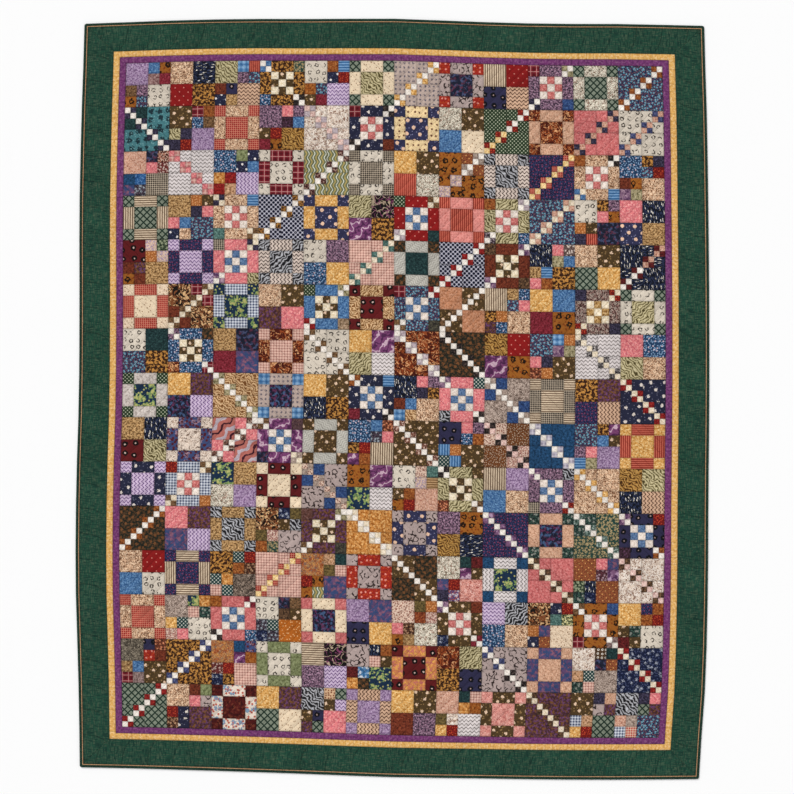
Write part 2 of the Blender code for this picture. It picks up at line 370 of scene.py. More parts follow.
def four_squares(x, y, size, cloths):
    """Four equal squares that fill a larger one, read across and then down."""
    half = size / 2
    places = [(x, y), (x + half, y), (x, y + half), (x + half, y + half)]
    return [(*place, half, half, cloth) for place, cloth in zip(places, cloths)]


def chain_square(x, y, light, dark, falling):
    """A unit of four half squares whose light pair follows the chain."""
    order = (light, dark, dark, light) if falling else (dark, light, light, dark)
    return four_squares(x, y, 1, order)


def framed_patches(corners, side):
    """Corner squares, and between them long patches, the upright ones with their print turned."""
    places = [(0, 0), (3, 0), (0, 3), (3, 3)]
    patches = [(x, y, 1, 1, cloth) for (x, y), cloth in zip(places, corners) if cloth]
    patches += [(1, 0, 2, 1, side), (1, 3, 2, 1, side)]
    return patches + [(0, 1, 1, 2, side + "*"), (3, 1, 1, 2, side + "*")]


def nine_patch_block(falling, names, chains):
    """A nine-patch in the middle, chain squares in two corners."""
    colour, side, first, second = names
    corners = [None, first, second, None] if falling else [first, None, None, second]
    patches = framed_patches(corners, side)
    patches += chain_square(0 if falling else 3, 0, *chains[0], falling)
    patches += chain_square(3 if falling else 0, 3, *chains[1], falling)
    edge, light = NINE_PATCH.get(colour, ("brown-buds" if colour == "brown" else colour, "butter"))
    third = 2 / 3
    for i in range(9):
        cloth = edge if i % 2 else light
        patches.append((1 + third * (i % 3), 1 + third * (i // 3), third, third, cloth))
    return patches


def chain_block(falling, names, chains):
    """Two large squares, and two quarters crossed by a chain of small ones."""
    large = names[0]
    upper = names[1] if len(names) > 1 else large
    lower = names[2] if len(names) > 2 else upper
    patches = []
    for quarter, (small, (light, dark)) in enumerate(zip((upper, lower), chains)):
        x = 2 * quarter if falling else 2 - 2 * quarter
        y = 2 * quarter
        for i in range(4):
            on_chain = i in ((0, 3) if falling else (1, 2))
            place = (x + i % 2, y + i // 2)
            if on_chain:
                patches += chain_square(*place, light, dark, falling)
            else:
                patches.append((*place, 1, 1, small))
        patches.append((2 - x, y, 2, 2, large))
    return patches


def block_patches(recipe):
    """Every patch of a block: left, top, width and height in units, and its cloth."""
    (kind, *names), *others = [part.split() for part in recipe.split(":")]
    if kind == "S":
        patches = [(0, 0, 2, 2, names[0]), (2, 2, 2, 2, names[1])]
        return patches + four_squares(2, 0, 2, others[0]) + four_squares(0, 2, 2, others[1])
    if kind == "Q":
        return four_squares(0, 0, 4, names)
    if kind == "F":
        corner, side, *middle = names
        return framed_patches([corner] * 4, side) + [(1, 1, 2, 2, *(middle or [corner]))]
    chains = others if len(others) == 2 else others * 2
    if kind in ("ND", "NU"):
        return nine_patch_block(kind == "ND", names, chains)
    return chain_block(kind == "D", names, chains)


# The printed cottons. A print is a node group that says where its figure and its ink lie, and every
# cloth uses one of them, with its own three colours and sizes.


def tint(code):
    """A dye's colour, from its six-figure code on screen."""
    parts = [int(code[i : i + 2], 16) / 255 for i in (0, 2, 4)]
    linear = [p / 12.92 if p < 0.04045 else ((p + 0.055) / 1.055) ** 2.4 for p in parts]
    return (*linear, 1.0)


def calc(operation, *values):
    """Arithmetic on varying values and numbers."""
    tree = next(value.tree for value in values if isinstance(value, Varying))
    return add(tree, "Math", {"operation": operation}, dict(enumerate(values)))


def sign(operation, flipped=False):
    """What an arithmetic sign does between a varying value and another one."""
    if flipped:
        return lambda value, other: calc(operation, other, value)
    return lambda value, other: calc(operation, value, other)


class Varying:
    """A value that varies over the cloth: a node's output, which arithmetic adds more nodes to."""

    def __init__(self, socket):
        self.socket = socket
        self.tree = socket.id_data

    __add__, __radd__ = sign("ADD"), sign("ADD", flipped=True)
    __sub__, __rsub__ = sign("SUBTRACT"), sign("SUBTRACT", flipped=True)
    __mul__, __rmul__ = sign("MULTIPLY"), sign("MULTIPLY", flipped=True)
    __truediv__, __rtruediv__ = sign("DIVIDE"), sign("DIVIDE", flipped=True)
    __pow__ = sign("POWER")


def feed(socket, value):
    """Lead a varying value into a socket, or set the socket's own value."""
    if isinstance(value, Varying):
        socket.id_data.links.new(value.socket, socket)
    else:
        socket.default_value = value


def add(tree, kind, settings=None, inputs=None, output=0):
    """What comes out of a new node with these settings, its inputs given by name or number."""
    node = tree.nodes.new("ShaderNode" + kind)
    for name, value in (settings or {}).items():
        setattr(node, name, value)
    for name, value in (inputs or {}).items():
        feed(node.inputs[name], value)
    return Varying(node.outputs[output])


def across_and_up(place):
    """The two parts of a place on the cloth."""
    return [add(place.tree, "SeparateXYZ", {}, {"Vector": place}, part) for part in ("X", "Y")]


def shifted(place, x, y):
    """The same place on another part of the cloth."""
    return add(place.tree, "VectorMath", {"operation": "ADD"}, {0: place, 1: (x, y, 0.0)})


# How softly a print's edges meet the ground: as a length in millimetres, and as a share of a noise.
SOFT_EDGE = 0.4
CRISP_EDGE = 0.3
NOISE_EDGE = 0.05
BREAK_EDGE = 0.03
# Nearly all of a noise lies in this span, up to this top.
NOISE_SPAN = 0.27
NOISE_TOP = 0.635


def within(distance, edge, blur=CRISP_EDGE):
    """1 where a distance is short of an edge and 0 beyond it, softly."""
    inputs = {"Value": distance, "From Min": edge + blur, "From Max": edge - blur}
    return add(distance.tree, "MapRange", {"interpolation_type": "SMOOTHSTEP"}, inputs)


def noise(place, size, detail=2.0, twist=0.0):
    """Smooth random cloth shading, from 0 to 1, with features of a size in millimetres."""
    inputs = {"Vector": place, "Scale": 1.0 / size, "Detail": detail}
    inputs.update({"Roughness": 0.6, "Distortion": twist})
    return add(place.tree, "TexNoise", {"noise_dimensions": "2D"}, inputs)


def share_of(value, share, blur=NOISE_EDGE):
    """The highest share of a noise."""
    return within(share * -NOISE_SPAN + NOISE_TOP - value, 0.0, blur)


def spots(place, spacing, jitter=1.0):
    """How far the nearest of many scattered spots is, in millimetres."""
    inputs = {"Vector": place, "Scale": 1.0 / spacing, "Randomness": jitter}
    return add(place.tree, "TexVoronoi", {"voronoi_dimensions": "2D"}, inputs, "Distance") * spacing


def off_line(value, pitch):
    """How far a place is from the nearest of many even lines, and from the middle between two."""
    off = calc("ABSOLUTE", calc("FRACT", value / pitch) - 0.5) * pitch
    return off, pitch * 0.5 - off


def start_group(name, takes, gives=("Figure", "Ink")):
    """A node group's named inputs and outputs: numbers, colours, or None for a place."""
    tree = bpy.data.node_groups.new(name, "ShaderNodeTree")
    for label, value in takes.items():
        kind = "Vector" if value is None else "Color" if isinstance(value, tuple) else "Float"
        socket = tree.interface.new_socket(label, in_out="INPUT", socket_type="NodeSocket" + kind)
        if value is not None:
            socket.default_value = value
    for label in gives:
        kind = "Color" if label == "Color" else "Float"
        tree.interface.new_socket(label, in_out="OUTPUT", socket_type="NodeSocket" + kind)
    outputs = tree.nodes.new("NodeGroupInput").outputs
    given = {label: Varying(outputs[label]) for label in takes}
    return tree, given, tree.nodes.new("NodeGroupOutput").inputs


CLOTHS = {}


def stock(pattern, table):
    """Shelve printed cottons. Each line of a table names one and gives its ground, figure and ink
    colours, then the print's own sizes in millimetres or shares, where -1 is none. The last ones
    may be left out. turn= leans a print by degrees, long= draws its motifs out, wear= scales how
    unevenly the dye has faded and, with it, a small mottle that is partly painted shade of puckers."""
    for line in table.split("\n"):
        if line:
            name, ground, figure, ink, *sizes = line.split()
            CLOTHS[name] = (pattern, (ground, figure, ink), sizes)


def clouded_print():
    """Dye in soft clouds, as in mottled plains and batiks."""
    takes = {"Vector": None, "Size": 7.0, "Figure share": 0.3, "Ink share": 0.3}
    tree, given, out = start_group("clouded print", takes)
    place, size = given["Vector"], given["Size"]
    feed(out["Figure"], share_of(noise(place, size, 3.0), given["Figure share"]))
    second = noise(shifted(place, 310.0, 170.0), size, 3.0)
    feed(out["Ink"], share_of(second, given["Ink share"]))
    return tree


CLOUDED = clouded_print()
# Size, share of figure, share of ink.
stock(CLOUDED, """
blue 4b6e99 6c94ba 2a5280 6 .35 .35
royal-blue 2c4474 445e88 203258
deep-blue 1c4264 2a527a 112e4a
navy 302a3c 4a445c 181626 6
navy-blue 40446a 5c6488 242a48
sky-blue 597299 7890ac 345476 6
maroon 76202c 8c3440 561018 6
burgundy 581818 702828 3a0c0e 7 .25
dark-maroon 54302c b09080 301818 7 .25
dark-red 861818 a03028 600c0c 7 .25
brown 6f4f33 8c6c4c 44301c 6
dark-brown 523a28 7c5c40 2c1c12
brown-black 684438 c8b0a0 2c1814 8
brown-rust 8c5c2c b0803c 2c1c10 7 .3 .35
olive-brown 60502c 78643a 40341c
plum-brown 5a3830 70504a 422620
taupe-brown a08468 b89c84 6c543c 7 .3 .35
dark-taupe 50383c 684c48 382428
tan-brown 98744c c0a070 6c4c2c 8 .3 .35
dark-teal 1c3334 2c4a48 0e2426
teal 4c6c64 6c8c84 34504c
grey-green 3c3830 54503f 282420
pink da7a7b eaa09c c0606a
dusty-pink c86c6a d88884 b05656
rose c8706c dc948c ac5450 6
shell ebdcd0 f5e9de d3c3b4
butter f0e0c4 f8ebd6 dac6a2
peach cc9c84 dcb4a0 a8705c 6 .3 .25
peach-brown be8260 cc9678 a06848
peach-rust 805444 d8b8a8 4c2418
rust-brown 6a2c1a 7e3e28 4c1c10
rust 8c4a20 aa6c38 64300f
rust-orange 94501c aa6c34 703810
rust-red 843c20 a45c34 5c2010
gold d6a05a f0cc90 b47c34 7 .3 .25
gold-orange c48240 e4b070 9a5a1e 8
gold-brown b08850 d8b480 7c5428 8
sage-green 7a8058 8e946c 5e6440 8
sage a09470 b4a888 665e40 8
purple 806078 ac8c9c 503054 16 .35
purple-black 3c2c34 a8989c 1c141c
dark-plum 3c2430 5c3c54 241418
mauve 74506e ac8ca8 4c2c50 22 .35
mauve-grey 806a66 9c8480 5c4844
fawn a08c80 b8a698 806c60
tan b88c68 d0a686 86603f 7 .35
white f4eadf fbf3ea e4d8cb 7 .3 .16
cream eedbc2 f6ead6 d4c2a2
yellow f4d094 fae0b0 dcb060
black 28201e 5c4c46 0e0a0a 7 .25
grey-black 5c5656 b8b0ac 242020 8
lilac b8a8ac c8babe 98888e
pale-pink e8c4b8 f2d6cc cca098
pale-rose-grey c8bcb4 d6ccc4 a89c94 8
green-speckle 54685f a8b4ac 2c3c34
tan-leaf b48c5c d0aa78 684826 6 .32 .4
lavender-speckle a084a4 b8a0bc 74587c 6 .38 .4
taupe 8c6c68 a88884 643c3c
plum 755468 a8869a 342838 6 .42 .42
navy-batik 161a2c 444c6c 542a3c 14 .26 .18
dark-navy-batik 16162a 5c2c4c 40587c 13 .3 .26
blue-purple-batik 34446c 5c4468 805468 15 .4 .2
plum-batik 43262a 684068 704826 9 .34
orange-pink-batik c87c4c dca050 c06c60 10 .4
blue-cloud 4a7ca8 d4d8dc 2c5c88 12 .35
blue-blotch 28588c 5c84b4 143c6c 9
leopard 34180a bc8440 24120a 9 .46 .1
burgundy-brown 4c1210 683020 340a0a 12 .25
""")


# Grain that roughens a motif's edge and patches left unprinted, as shares of its radius, and how
# far apart the specks are, as a share of the spacing.
EDGE_GRAIN, UNPRINTED_PATCH, SPECK_SPACING = 0.9, 1.7, 0.42


def spotted_print():
    """Scattered motifs: dots, rings, buds and small flowers, with hearts and specks."""
    takes = {"Vector": None, "Spacing": 20.0, "Radius": 3.0, "Jitter": 0.5, "Ragged": 1.0}
    takes.update({"Specks": -1.0, "Hollow": -1.0, "Heart": -1.0, "Broken": -1.0})
    tree, given, out = start_group("spotted print", takes)
    place, spacing, radius = given["Vector"], given["Spacing"], given["Radius"]
    grain = noise(place, radius * EDGE_GRAIN, 1.0)
    wander = (grain - 0.5) * (given["Ragged"] * 4.0)
    distance = spots(place, spacing, given["Jitter"]) + wander
    disc = within(distance, radius, SOFT_EDGE)
    ring = disc * (1.0 - within(distance, radius * given["Hollow"], SOFT_EDGE))
    patchy = noise(shifted(place, 19.0, 57.0), radius * UNPRINTED_PATCH, 0.0)
    feed(out["Figure"], ring * (1.0 - share_of(patchy, given["Broken"], BREAK_EDGE)))
    to_speck = spots(shifted(place, 71.0, 43.0), spacing * SPECK_SPACING)
    specks = within(to_speck, given["Specks"], SOFT_EDGE) * (1.0 - disc)
    heart = within(distance, given["Heart"], SOFT_EDGE)
    feed(out["Ink"], calc("MAXIMUM", specks, heart))
    return tree


SPOTTED = spotted_print()
# Spacing, radius, jitter, raggedness, radius of the specks between, how hollow a motif is as a
# share, radius of its heart, share of the motifs left unprinted.
stock(SPOTTED, """
navy-houndstooth b4b2be 0a0e26 0a0e26 10.8 4.7 0 .2 turn=45
dark-brown-spot 1e2018 6e4628 4a3420 19 4.9 .45 2 3.2 turn=45
cream-rings d2c6b6 38302a 8c8074 24.5 7 .3 1.8 -1 .52 -1 .06
burgundy-rings 5c1517 100606 c8b0a4 34 9.6 .3 1.6 -1 -1 2.8
navy-ring 2b2945 07070f a88c84 31 9 .35 1.6 -1 -1 2.2
brown-rings 4a3420 e0d8cc e0d8cc 14 3.7 .2 .5 -1 .5
rust-paw 96591f 1e0e04 7c3a12 33 9.4 .4 3.6 3 .34
red-dots 861414 d08074 d08074 21 2.2 .1 .3 turn=45
rust-dots 8a4c2c d4a060 54281c 15 1.9 .3 .5 1.5 turn=45
orange-dots b0601c ecb880 8c4410 12 1.8 .8 .8 .9
cream-dots e8cc9c 6c4430 b08c60 19 3.6 .3 1.2 1.2
cream-rust-dots d0ac88 7c3820 7c3820 9 2.6 .3 .6
ivory e4ceb0 8c6444 8c6444 14 1.9 .9 .5
ivory-dots e8d0b4 8c6444 b08c6c 15 2 .9 .6 1.1
navy-berries 2d2e4b e4bca0 8080a0 32 6.2 .15 1 1.7 turn=45
brown-buds 4a371e e0c0a4 8a6c44 30 4.9 .35 2.2 2.2 turn=45
navy-buds 22243a dcd0c6 6c6c80 33 5.2 .25 2.2 1.6 turn=45
navy-dot 20223a e4dcd8 4c5068 25 3.8 .3 .6 1.6 turn=45
navy-purple-dots 221838 803a58 38446c 11.5 2.2 .6 .8 1.4
taupe-buds b6a298 54505c 54505c 15 3.2 .12 3.4
teal-blotch 44767c 1a3038 6c989a 28 8.6 .3 5 2
red 88201a c8502c 560a08 9 1.6 .8 .6 1.5
orange b06c38 d89c68 8c4c1e 9 2 .7 .8 1.2
green-dot-lattice 243620 a8ac94 a8ac94 9 2.3 0 .2 turn=45
teal-check 1a3a38 bcbcb2 bcbcb2 9 2.5 0 .2 turn=45
pink-stamp dd8f86 b86058 eab0a8 9 2.8 .5 1 -1 .5 .6
navy-fish 080b17 f4ecdf 2d3654 7.9 1.4 1 1 1.1 -1 -1 .42 long=3.7 turn=99
taupe-strokes ab9893 2a1e1c 8c7c7c 22 10 1 2 -1 .64 -1 .3
teal-floral 11294a 74a8ba 8c5450 10.5 2.5 .9 2.6 1.1
blue-floral 1f3959 ccb4bc 7c9ab8 17 2.4 .8 1.2 2
green-floral 2c4c40 ac966c 1c3430 9 3 .9 3 1.8
dark-green-floral 1a2927 8e9086 3c584c 15 3.2 .9 2.6 2
dark-floral 201e28 98a0a8 544450 13 3.2 .9 2.6 2
navy-floral 121a36 a0a4b0 444c6c 21 3.5 .9 4 2
red-floral 98241a e49484 b8481c 19 3.1 .6 1.8 1.8
brown-paisley 4c241c c88870 d8b8a4 14 4 .6 3 1.6 .45
grey-red-floral 8c6c64 d8c8b8 3c2420 12 3.2 .9 4 2.4 .5 1
grey-brown-floral 74605c d0c0b4 3c241c 10 2.8 .9 2 1.8
rust-floral 7c3c28 c8805c 3c2014 10 2.8 .9 2 1.8
brown-floral 583420 b08868 241410 12 3 .9 3 2
red-blue-floral 98443c c8bcc4 44406c 12 3.2 .9 3 2.4
burgundy-floral 5c3038 a88c94 301820 12 2.8 .9 3 2
blue-burgundy-floral 3c4870 a0808c 501c28 30 7.4 .9 6 4.4 .5 3
cream-coral-floral e6d6c6 7c98b0 b85c4c 32 8 .9 8 3.8
green-leaf-navy 152a42 748c54 aca868 40 13 .9 12 3 -1 5
green-leaf 3c4834 98a080 1c2c20 12 3.6 .9 3 2
yellow-leaf aca264 e6dea4 22362a 10 3 .9 3 2.4
lilac-floral c29c8c 9c88a4 d8c0b0 9.5 2.6 .9 1.6 1.8
mauve-floral 743834 c8b0a4 4c1818 10 2.6 .9 2 1.8
peach-floral c8a08c 7c4438 e4ccb8 8 2.2 .9 1.4 1.5
pink-floral c8a490 dcc4b4 7c3c40 9 2.2 .9 1.5 1.5
rust-speckle 7c4824 c0a890 50301c 7 1.4 1 .8 1.2
""")


WOBBLE_SIZE = 17.0  # millimetres


def lined_print():
    """Stripes, zigzags and waves."""
    takes = {"Vector": None, "Pitch": 10.0, "Figure width": 2.0, "Ink width": -1.0}
    takes.update({"Wobble": 0.0, "Wave length": 20.0, "Wave height": 0.0, "Pointed": 0.0})
    tree, given, out = start_group("lined print", takes)
    across, up = across_and_up(given["Vector"])
    turns = across / given["Wave length"]
    sine = calc("SINE", turns * (2 * math.pi))
    peaks = calc("PINGPONG", turns, 0.5) * 4.0 - 1.0
    wave = sine + (peaks - sine) * given["Pointed"]
    drift = noise(given["Vector"], WOBBLE_SIZE, 1.0) - 0.5
    height = up + wave * given["Wave height"] + drift * (given["Wobble"] * 2.0)
    off, between = off_line(height, given["Pitch"])
    feed(out["Figure"], within(off, given["Figure width"] * 0.5))
    feed(out["Ink"], within(between, given["Ink width"] * 0.5))
    return tree


# Pitch, figure width, ink width, wobble, wave length, wave height, pointedness.
stock(lined_print(), """
ticking b49b81 47311f dccab0 7.6 2.3 1.8 .5 turn=90
red-stripe a03c2e c86c58 742218 6.8 2.2 1.5 .3 turn=90
blue-stripe 44709e 7ca0c4 305a86 9 3 2.4 .5
tan-brown-stripe a07c54 6c4c2c c09c74 8 2.8 2 1
pale-grey-stripe b6b2a8 a19c93 c2beb4 8 2.6 3 .9 24 3 turn=-45
tan-zigzag cca68a 48281a 48281a 12.6 3.8 -1 1 15 5.2 .6
lavender-zigzag c8b2cc 66487a 66487a 12.6 3.8 -1 1 13.5 5.2 .6
white-zigzag dad0ce 706864 706864 12.6 3.3 -1 1 14.5 4.8 .6
bw-zigzag d2c0b4 40302a 40302a 12.6 4 -1 .8 14.5 5 .6 turn=90
zebra 8d8a8c 131317 bcbec4 11.4 5.2 1.8 10 34 3 turn=-45
sage-waves ac9f76 4c4224 ccc09a 10 3.2 1.8 10 40 3 turn=-45
tan-waves bc9468 744822 dab68c 10 3.6 2.4 13 30 3 turn=-35
olive-swirl 9a6e34 44280c b89050 11 3.6 2.4 13 36 4 turn=-35
green-serpentine 6c7254 dcdacc b09a5c 19 2.8 4.6 .5 28 4 .2 turn=90
mauve-wave ac645a b4a6ae 3c1622 46 13 7 6 50 6 turn=45
purple-marble 743e68 c4a4b4 4c2448 36 7 9 18 60 5 turn=40
""")


def checked_print():
    """Bands both ways, darkest where they cross, with fine lines between."""
    takes = {"Vector": None, "Pitch": 10.0, "Band width": 4.0, "Line width": -1.0}
    tree, given, out = start_group("checked print", takes)
    bands, lines = [], []
    for way in across_and_up(given["Vector"]):
        off, between = off_line(way, given["Pitch"])
        bands.append(within(off, given["Band width"] * 0.5))
        lines.append(within(between, given["Line width"] * 0.5))
    feed(out["Figure"], (bands[0] + bands[1]) * 0.5)
    feed(out["Ink"], calc("MAXIMUM", *lines))
    return tree


# Pitch, band width, line width.
stock(checked_print(), """
blue-plaid 4c78a4 88aaca 2a5684 19 7 2
black-gingham b4a490 140c0a 140c0a 7.2 3.9
red-check 962420 962420 d48c74 6.8 -1 1.3
red-cream-check b0443c dcc0a8 dcc0a8 8 3.4
maroon-plaid 781a26 500c16 bc8480 20 8 2
green-lattice 7c8474 7c8474 1e3026 16.4 -1 4.6 turn=45
pink-weave ddb4a4 84443a 84443a 9.2 2.8
blue-basket ccd0d8 203056 203056 9.6 4.4
pale-pink-plaid c8948a b46c68 dcb4a8 14 5 1.8
lavender-plaid b8b0ba 948c9c d0c8d0 14 5 1.8
""")


def scribbled_print():
    """Wandering drawn lines: scribbles, curls and vermicelli."""
    takes = {"Vector": None, "Size": 8.0, "Figure width": 1.0, "Ink width": 1.0, "Twist": 1.0}
    tree, given, out = start_group("scribbled print", takes)
    for label, shift in (("Figure", 0.0), ("Ink", 230.0)):
        place = shifted(given["Vector"], shift, shift)
        ridges = noise(place, given["Size"], 1.0, given["Twist"])
        off = calc("ABSOLUTE", ridges - 0.5) * given["Size"] * 2.0
        feed(out[label], within(off, given[label + " width"] * 0.5))
    return tree


# Size, figure width, ink width, twist.
stock(scribbled_print(), """
tan-scribble d0a583 6c442a ecccac 7.5 2.9 1.4 .6
cream-scribble e8dfcc 5c5644 94705f 7.5 1.6 .9 .6
cream-leaf-scribble dcc8b6 8c6c5c ece0d4 10 2.8 2 .6
cream-line-print e4d2c2 60483c b89c88 14 1.5 1.1 .8
taupe-scribble a89484 2c221c 6c5c50 7 3.2 1.4
grey-brown-scribble 948876 2c241e 5c5448 7 3 1.4
taupe-floral c8b4a6 5a483f a08c80 7 2.6 1.2
salmon dc9488 b4645c e8b0a4 8 2.2 1.2
salmon-squiggle e09888 a04c44 f0bcb0 8 2.5 1.2
rust-paisley 8a401c d49c6c 481408 19 3.6 5.6
orange-paisley c48a4c 68605c 8c4420 9 2 2.4 1.2
black-tan-floral d4aa7a 140c08 7c4828 20 9 4 1.2
black-flame 120e0e b09c84 7c3c60 24 3 2.2 .5
""")


def slubbed_print():
    """Odd threads that show in the weave, both ways."""
    takes = {"Vector": None, "Length": 12.0, "Thickness": 1.5}
    takes.update({"Figure share": 0.2, "Ink share": 0.2})
    tree, given, out = start_group("slubbed weave", takes)
    across, up = across_and_up(given["Vector"])
    for label, along, over in (("Figure", across, up), ("Ink", up, across)):
        thread = {"X": along / given["Length"], "Y": over / given["Thickness"]}
        place = add(tree, "CombineXYZ", {}, thread)
        feed(out[label], share_of(noise(place, 1.0, 1.0), given[label + " share"]))
    return tree


SLUBBED = slubbed_print()
# Length and thickness of the odd threads, share of figure threads, share of ink threads.
stock(SLUBBED, """
peach-tweed cc9c80 86583c deb69a 12 1.8 .22 .25
natural-back e2d6c0 efe6d4 cdbfa4 14 1.6 wear=.35
""")

# How the cloth has faded, its weave and relief, and the shade painted into its colour: a small
# mottle, partly print texture and partly painted shade of puckers, and painted shade along the
# stitched lines and near seams. Sizes are in millimetres, and depths are shares of its brightness.
FADING_SIZE, FADING_DEPTH = 130.0, 0.5
MOTTLE_AND_PUCKER_SHADE_SIZE, MOTTLE_AND_PUCKER_SHADE_DEPTH = 5.0, 0.45
THREAD_PITCH, THREAD_RUN, WEAVE_DEPTH = 1.1, 9.0, 0.35
CHANNEL_WIDTH = 27.0
STITCH_HALF_WIDTH, STITCH_BLUR, STITCH_PAINTED_SHADE = 0.5, 0.5, 0.34
SEAM_PAINTED_SHADE, SEAM_FALL = 0.36, 1.8
CREASE_SIZE, CREASE_RELIEF, WEAVE_RELIEF = 7.0, 2.2, 0.35


def quilted_cotton():
    """Two-colour printed cotton: weave, fading, creases, painted shade at seams, stitching,
    puckers.
    """
    grey = (0.5, 0.5, 0.5, 1.0)
    takes = {"Cut": None, "Stitch": None, "Ground": grey, "Figure colour": grey, "Ink colour": grey}
    takes.update({"Figure": 0.0, "Ink": 0.0, "Seam": 0.0, "Wear": 1.0})
    tree, given, out = start_group("quilted cotton", takes, ("Color", "Height"))
    cut = given["Cut"]
    colour = given["Ground"]
    for label in ("Figure", "Ink"):
        inputs = {"Factor": given[label], 6: colour, 7: given[label + " colour"]}
        colour = add(tree, "Mix", {"data_type": "RGBA"}, inputs, 2)
    fading = (noise(cut, FADING_SIZE) - 0.5) * FADING_DEPTH
    # A small mottle, partly print texture and partly painted shade of puckers.
    mottle_and_pucker_shade = (noise(cut, MOTTLE_AND_PUCKER_SHADE_SIZE) - 0.5) * MOTTLE_AND_PUCKER_SHADE_DEPTH
    threads = []
    for way in ((1.0, THREAD_RUN, 1.0), (THREAD_RUN, 1.0, 1.0)):
        place = add(tree, "VectorMath", {"operation": "DIVIDE"}, {0: cut, 1: way})
        threads.append(noise(place, THREAD_PITCH, 1.0))
    weave = threads[0] + threads[1] - 1.0
    channel = add(tree, "SeparateXYZ", {}, {"Vector": given["Stitch"]}, "X")
    to_line = calc("PINGPONG", channel, 0.5) * CHANNEL_WIDTH
    line = within(to_line, STITCH_HALF_WIDTH, STITCH_BLUR)
    # Painted shade: the colour darkens along the stitched lines of quilting.
    shade = 1.0 + (fading + mottle_and_pucker_shade) * given["Wear"] + weave * WEAVE_DEPTH - line * STITCH_PAINTED_SHADE
    # Painted shade: the colour darkens near seams.
    shade = shade - given["Seam"] ** SEAM_FALL * SEAM_PAINTED_SHADE
    feed(out["Color"], add(tree, "VectorMath", {"operation": "SCALE"}, {0: colour, "Scale": shade}))
    creases = noise(cut, CREASE_SIZE, 3.0) - 0.5
    feed(out["Height"], weave * WEAVE_RELIEF + creases * CREASE_RELIEF - line)
    return tree


QUILTED_COTTON = quilted_cotton()
COTTON_ROUGHNESS = 0.9
COTTON_SPECULAR = 0.2
CREASE_DEPTH = 0.5 * MM
MADE_UP = {}


def cotton(name):
    """A printed cotton, made up when it is first asked for."""
    if name in MADE_UP:
        return MADE_UP[name]
    pattern, colours, sizes = CLOTHS[name]
    special = {word.split("=")[0]: float(word.split("=")[1]) for word in sizes if "=" in word}
    material = MADE_UP[name] = bpy.data.materials.new(name + " cotton")
    material.use_nodes = True
    tree = material.node_tree
    cut, stitch = [add(tree, "UVMap", {"uv_map": uv_map}) for uv_map in ("cut", "stitch")]
    turn = (0.0, 0.0, math.radians(special.get("turn", 0)))
    inputs = {"Vector": cut, "Rotation": turn, "Scale": (special.get("long", 1), 1.0, 1.0)}
    place = add(tree, "Mapping", {"vector_type": "TEXTURE"}, inputs)
    figure = add(tree, "Group", {"node_tree": pattern}, {"Vector": place}, "Figure")
    printing = figure.socket.node
    numbers = [float(word) for word in sizes if "=" not in word]
    for socket, number in zip(list(printing.inputs)[1:], numbers):
        socket.default_value = number
    inputs = dict(zip(("Ground", "Figure colour", "Ink colour"), map(tint, colours)))
    inputs.update({"Cut": cut, "Stitch": stitch, "Wear": special.get("wear", 1)})
    inputs.update({"Figure": figure, "Ink": Varying(printing.outputs["Ink"])})
    inputs["Seam"] = add(tree, "Attribute", {"attribute_name": "seam"}, {}, "Fac")
    colour = add(tree, "Group", {"node_tree": QUILTED_COTTON}, inputs, "Color")
    height = Varying(colour.socket.node.outputs["Height"])
    relief = {"Height": height, "Distance": CREASE_DEPTH, "Strength": 1.0}
    shader = tree.nodes["Principled BSDF"].inputs
    feed(shader["Base Color"], colour)
    feed(shader["Normal"], add(tree, "Bump", {}, relief))
    feed(shader["Roughness"], COTTON_ROUGHNESS)
    feed(shader["Specular IOR Level"], COTTON_SPECULAR)
    return material


# Heights above the floor: seams and stitched lines, and the puffs between them.
SEAM_HEIGHT = 3.6 * MM
PUFF_HEIGHT = 6.4 * MM
GAP = 0.3 * MM
SQUARES = 48  # mesh squares along a block's side
UNIT_SQUARES = SQUARES // 4

# Rows of blocks above this one lean one way, and the chevron of quilting turns here.
CHEVRON_ROW = 6
CHEVRON_CORNER = 8
CHEVRON_FOOT = 6


def leans_right(row, column):
    """Whether a block's quilting runs up to the right; the two ways meet in a wide chevron."""
    if row <= CHEVRON_ROW:
        return row + column >= CHEVRON_CORNER
    return row - column >= CHEVRON_FOOT


def hills(x, y, size, seed):
    """Smooth random hills of about this size, from -1 to 1."""
    count = 256  # hills each way before they repeat
    lattice = np.random.default_rng(seed).uniform(-1.0, 1.0, (count, count))
    u = x / size + 16 * count
    v = y / size + 16 * count
    i = np.floor(u).astype(int)
    j = np.floor(v).astype(int)
    s = (u - i) ** 2 * (3 - 2 * (u - i))
    t = (v - j) ** 2 * (3 - 2 * (v - j))
    i, j, beyond_i, beyond_j = i % count, j % count, (i + 1) % count, (j + 1) % count
    near = lattice[i, j] * (1 - s) + lattice[beyond_i, j] * s
    far = lattice[i, beyond_j] * (1 - s) + lattice[beyond_i, beyond_j] * s
    return near * (1 - t) + far * t


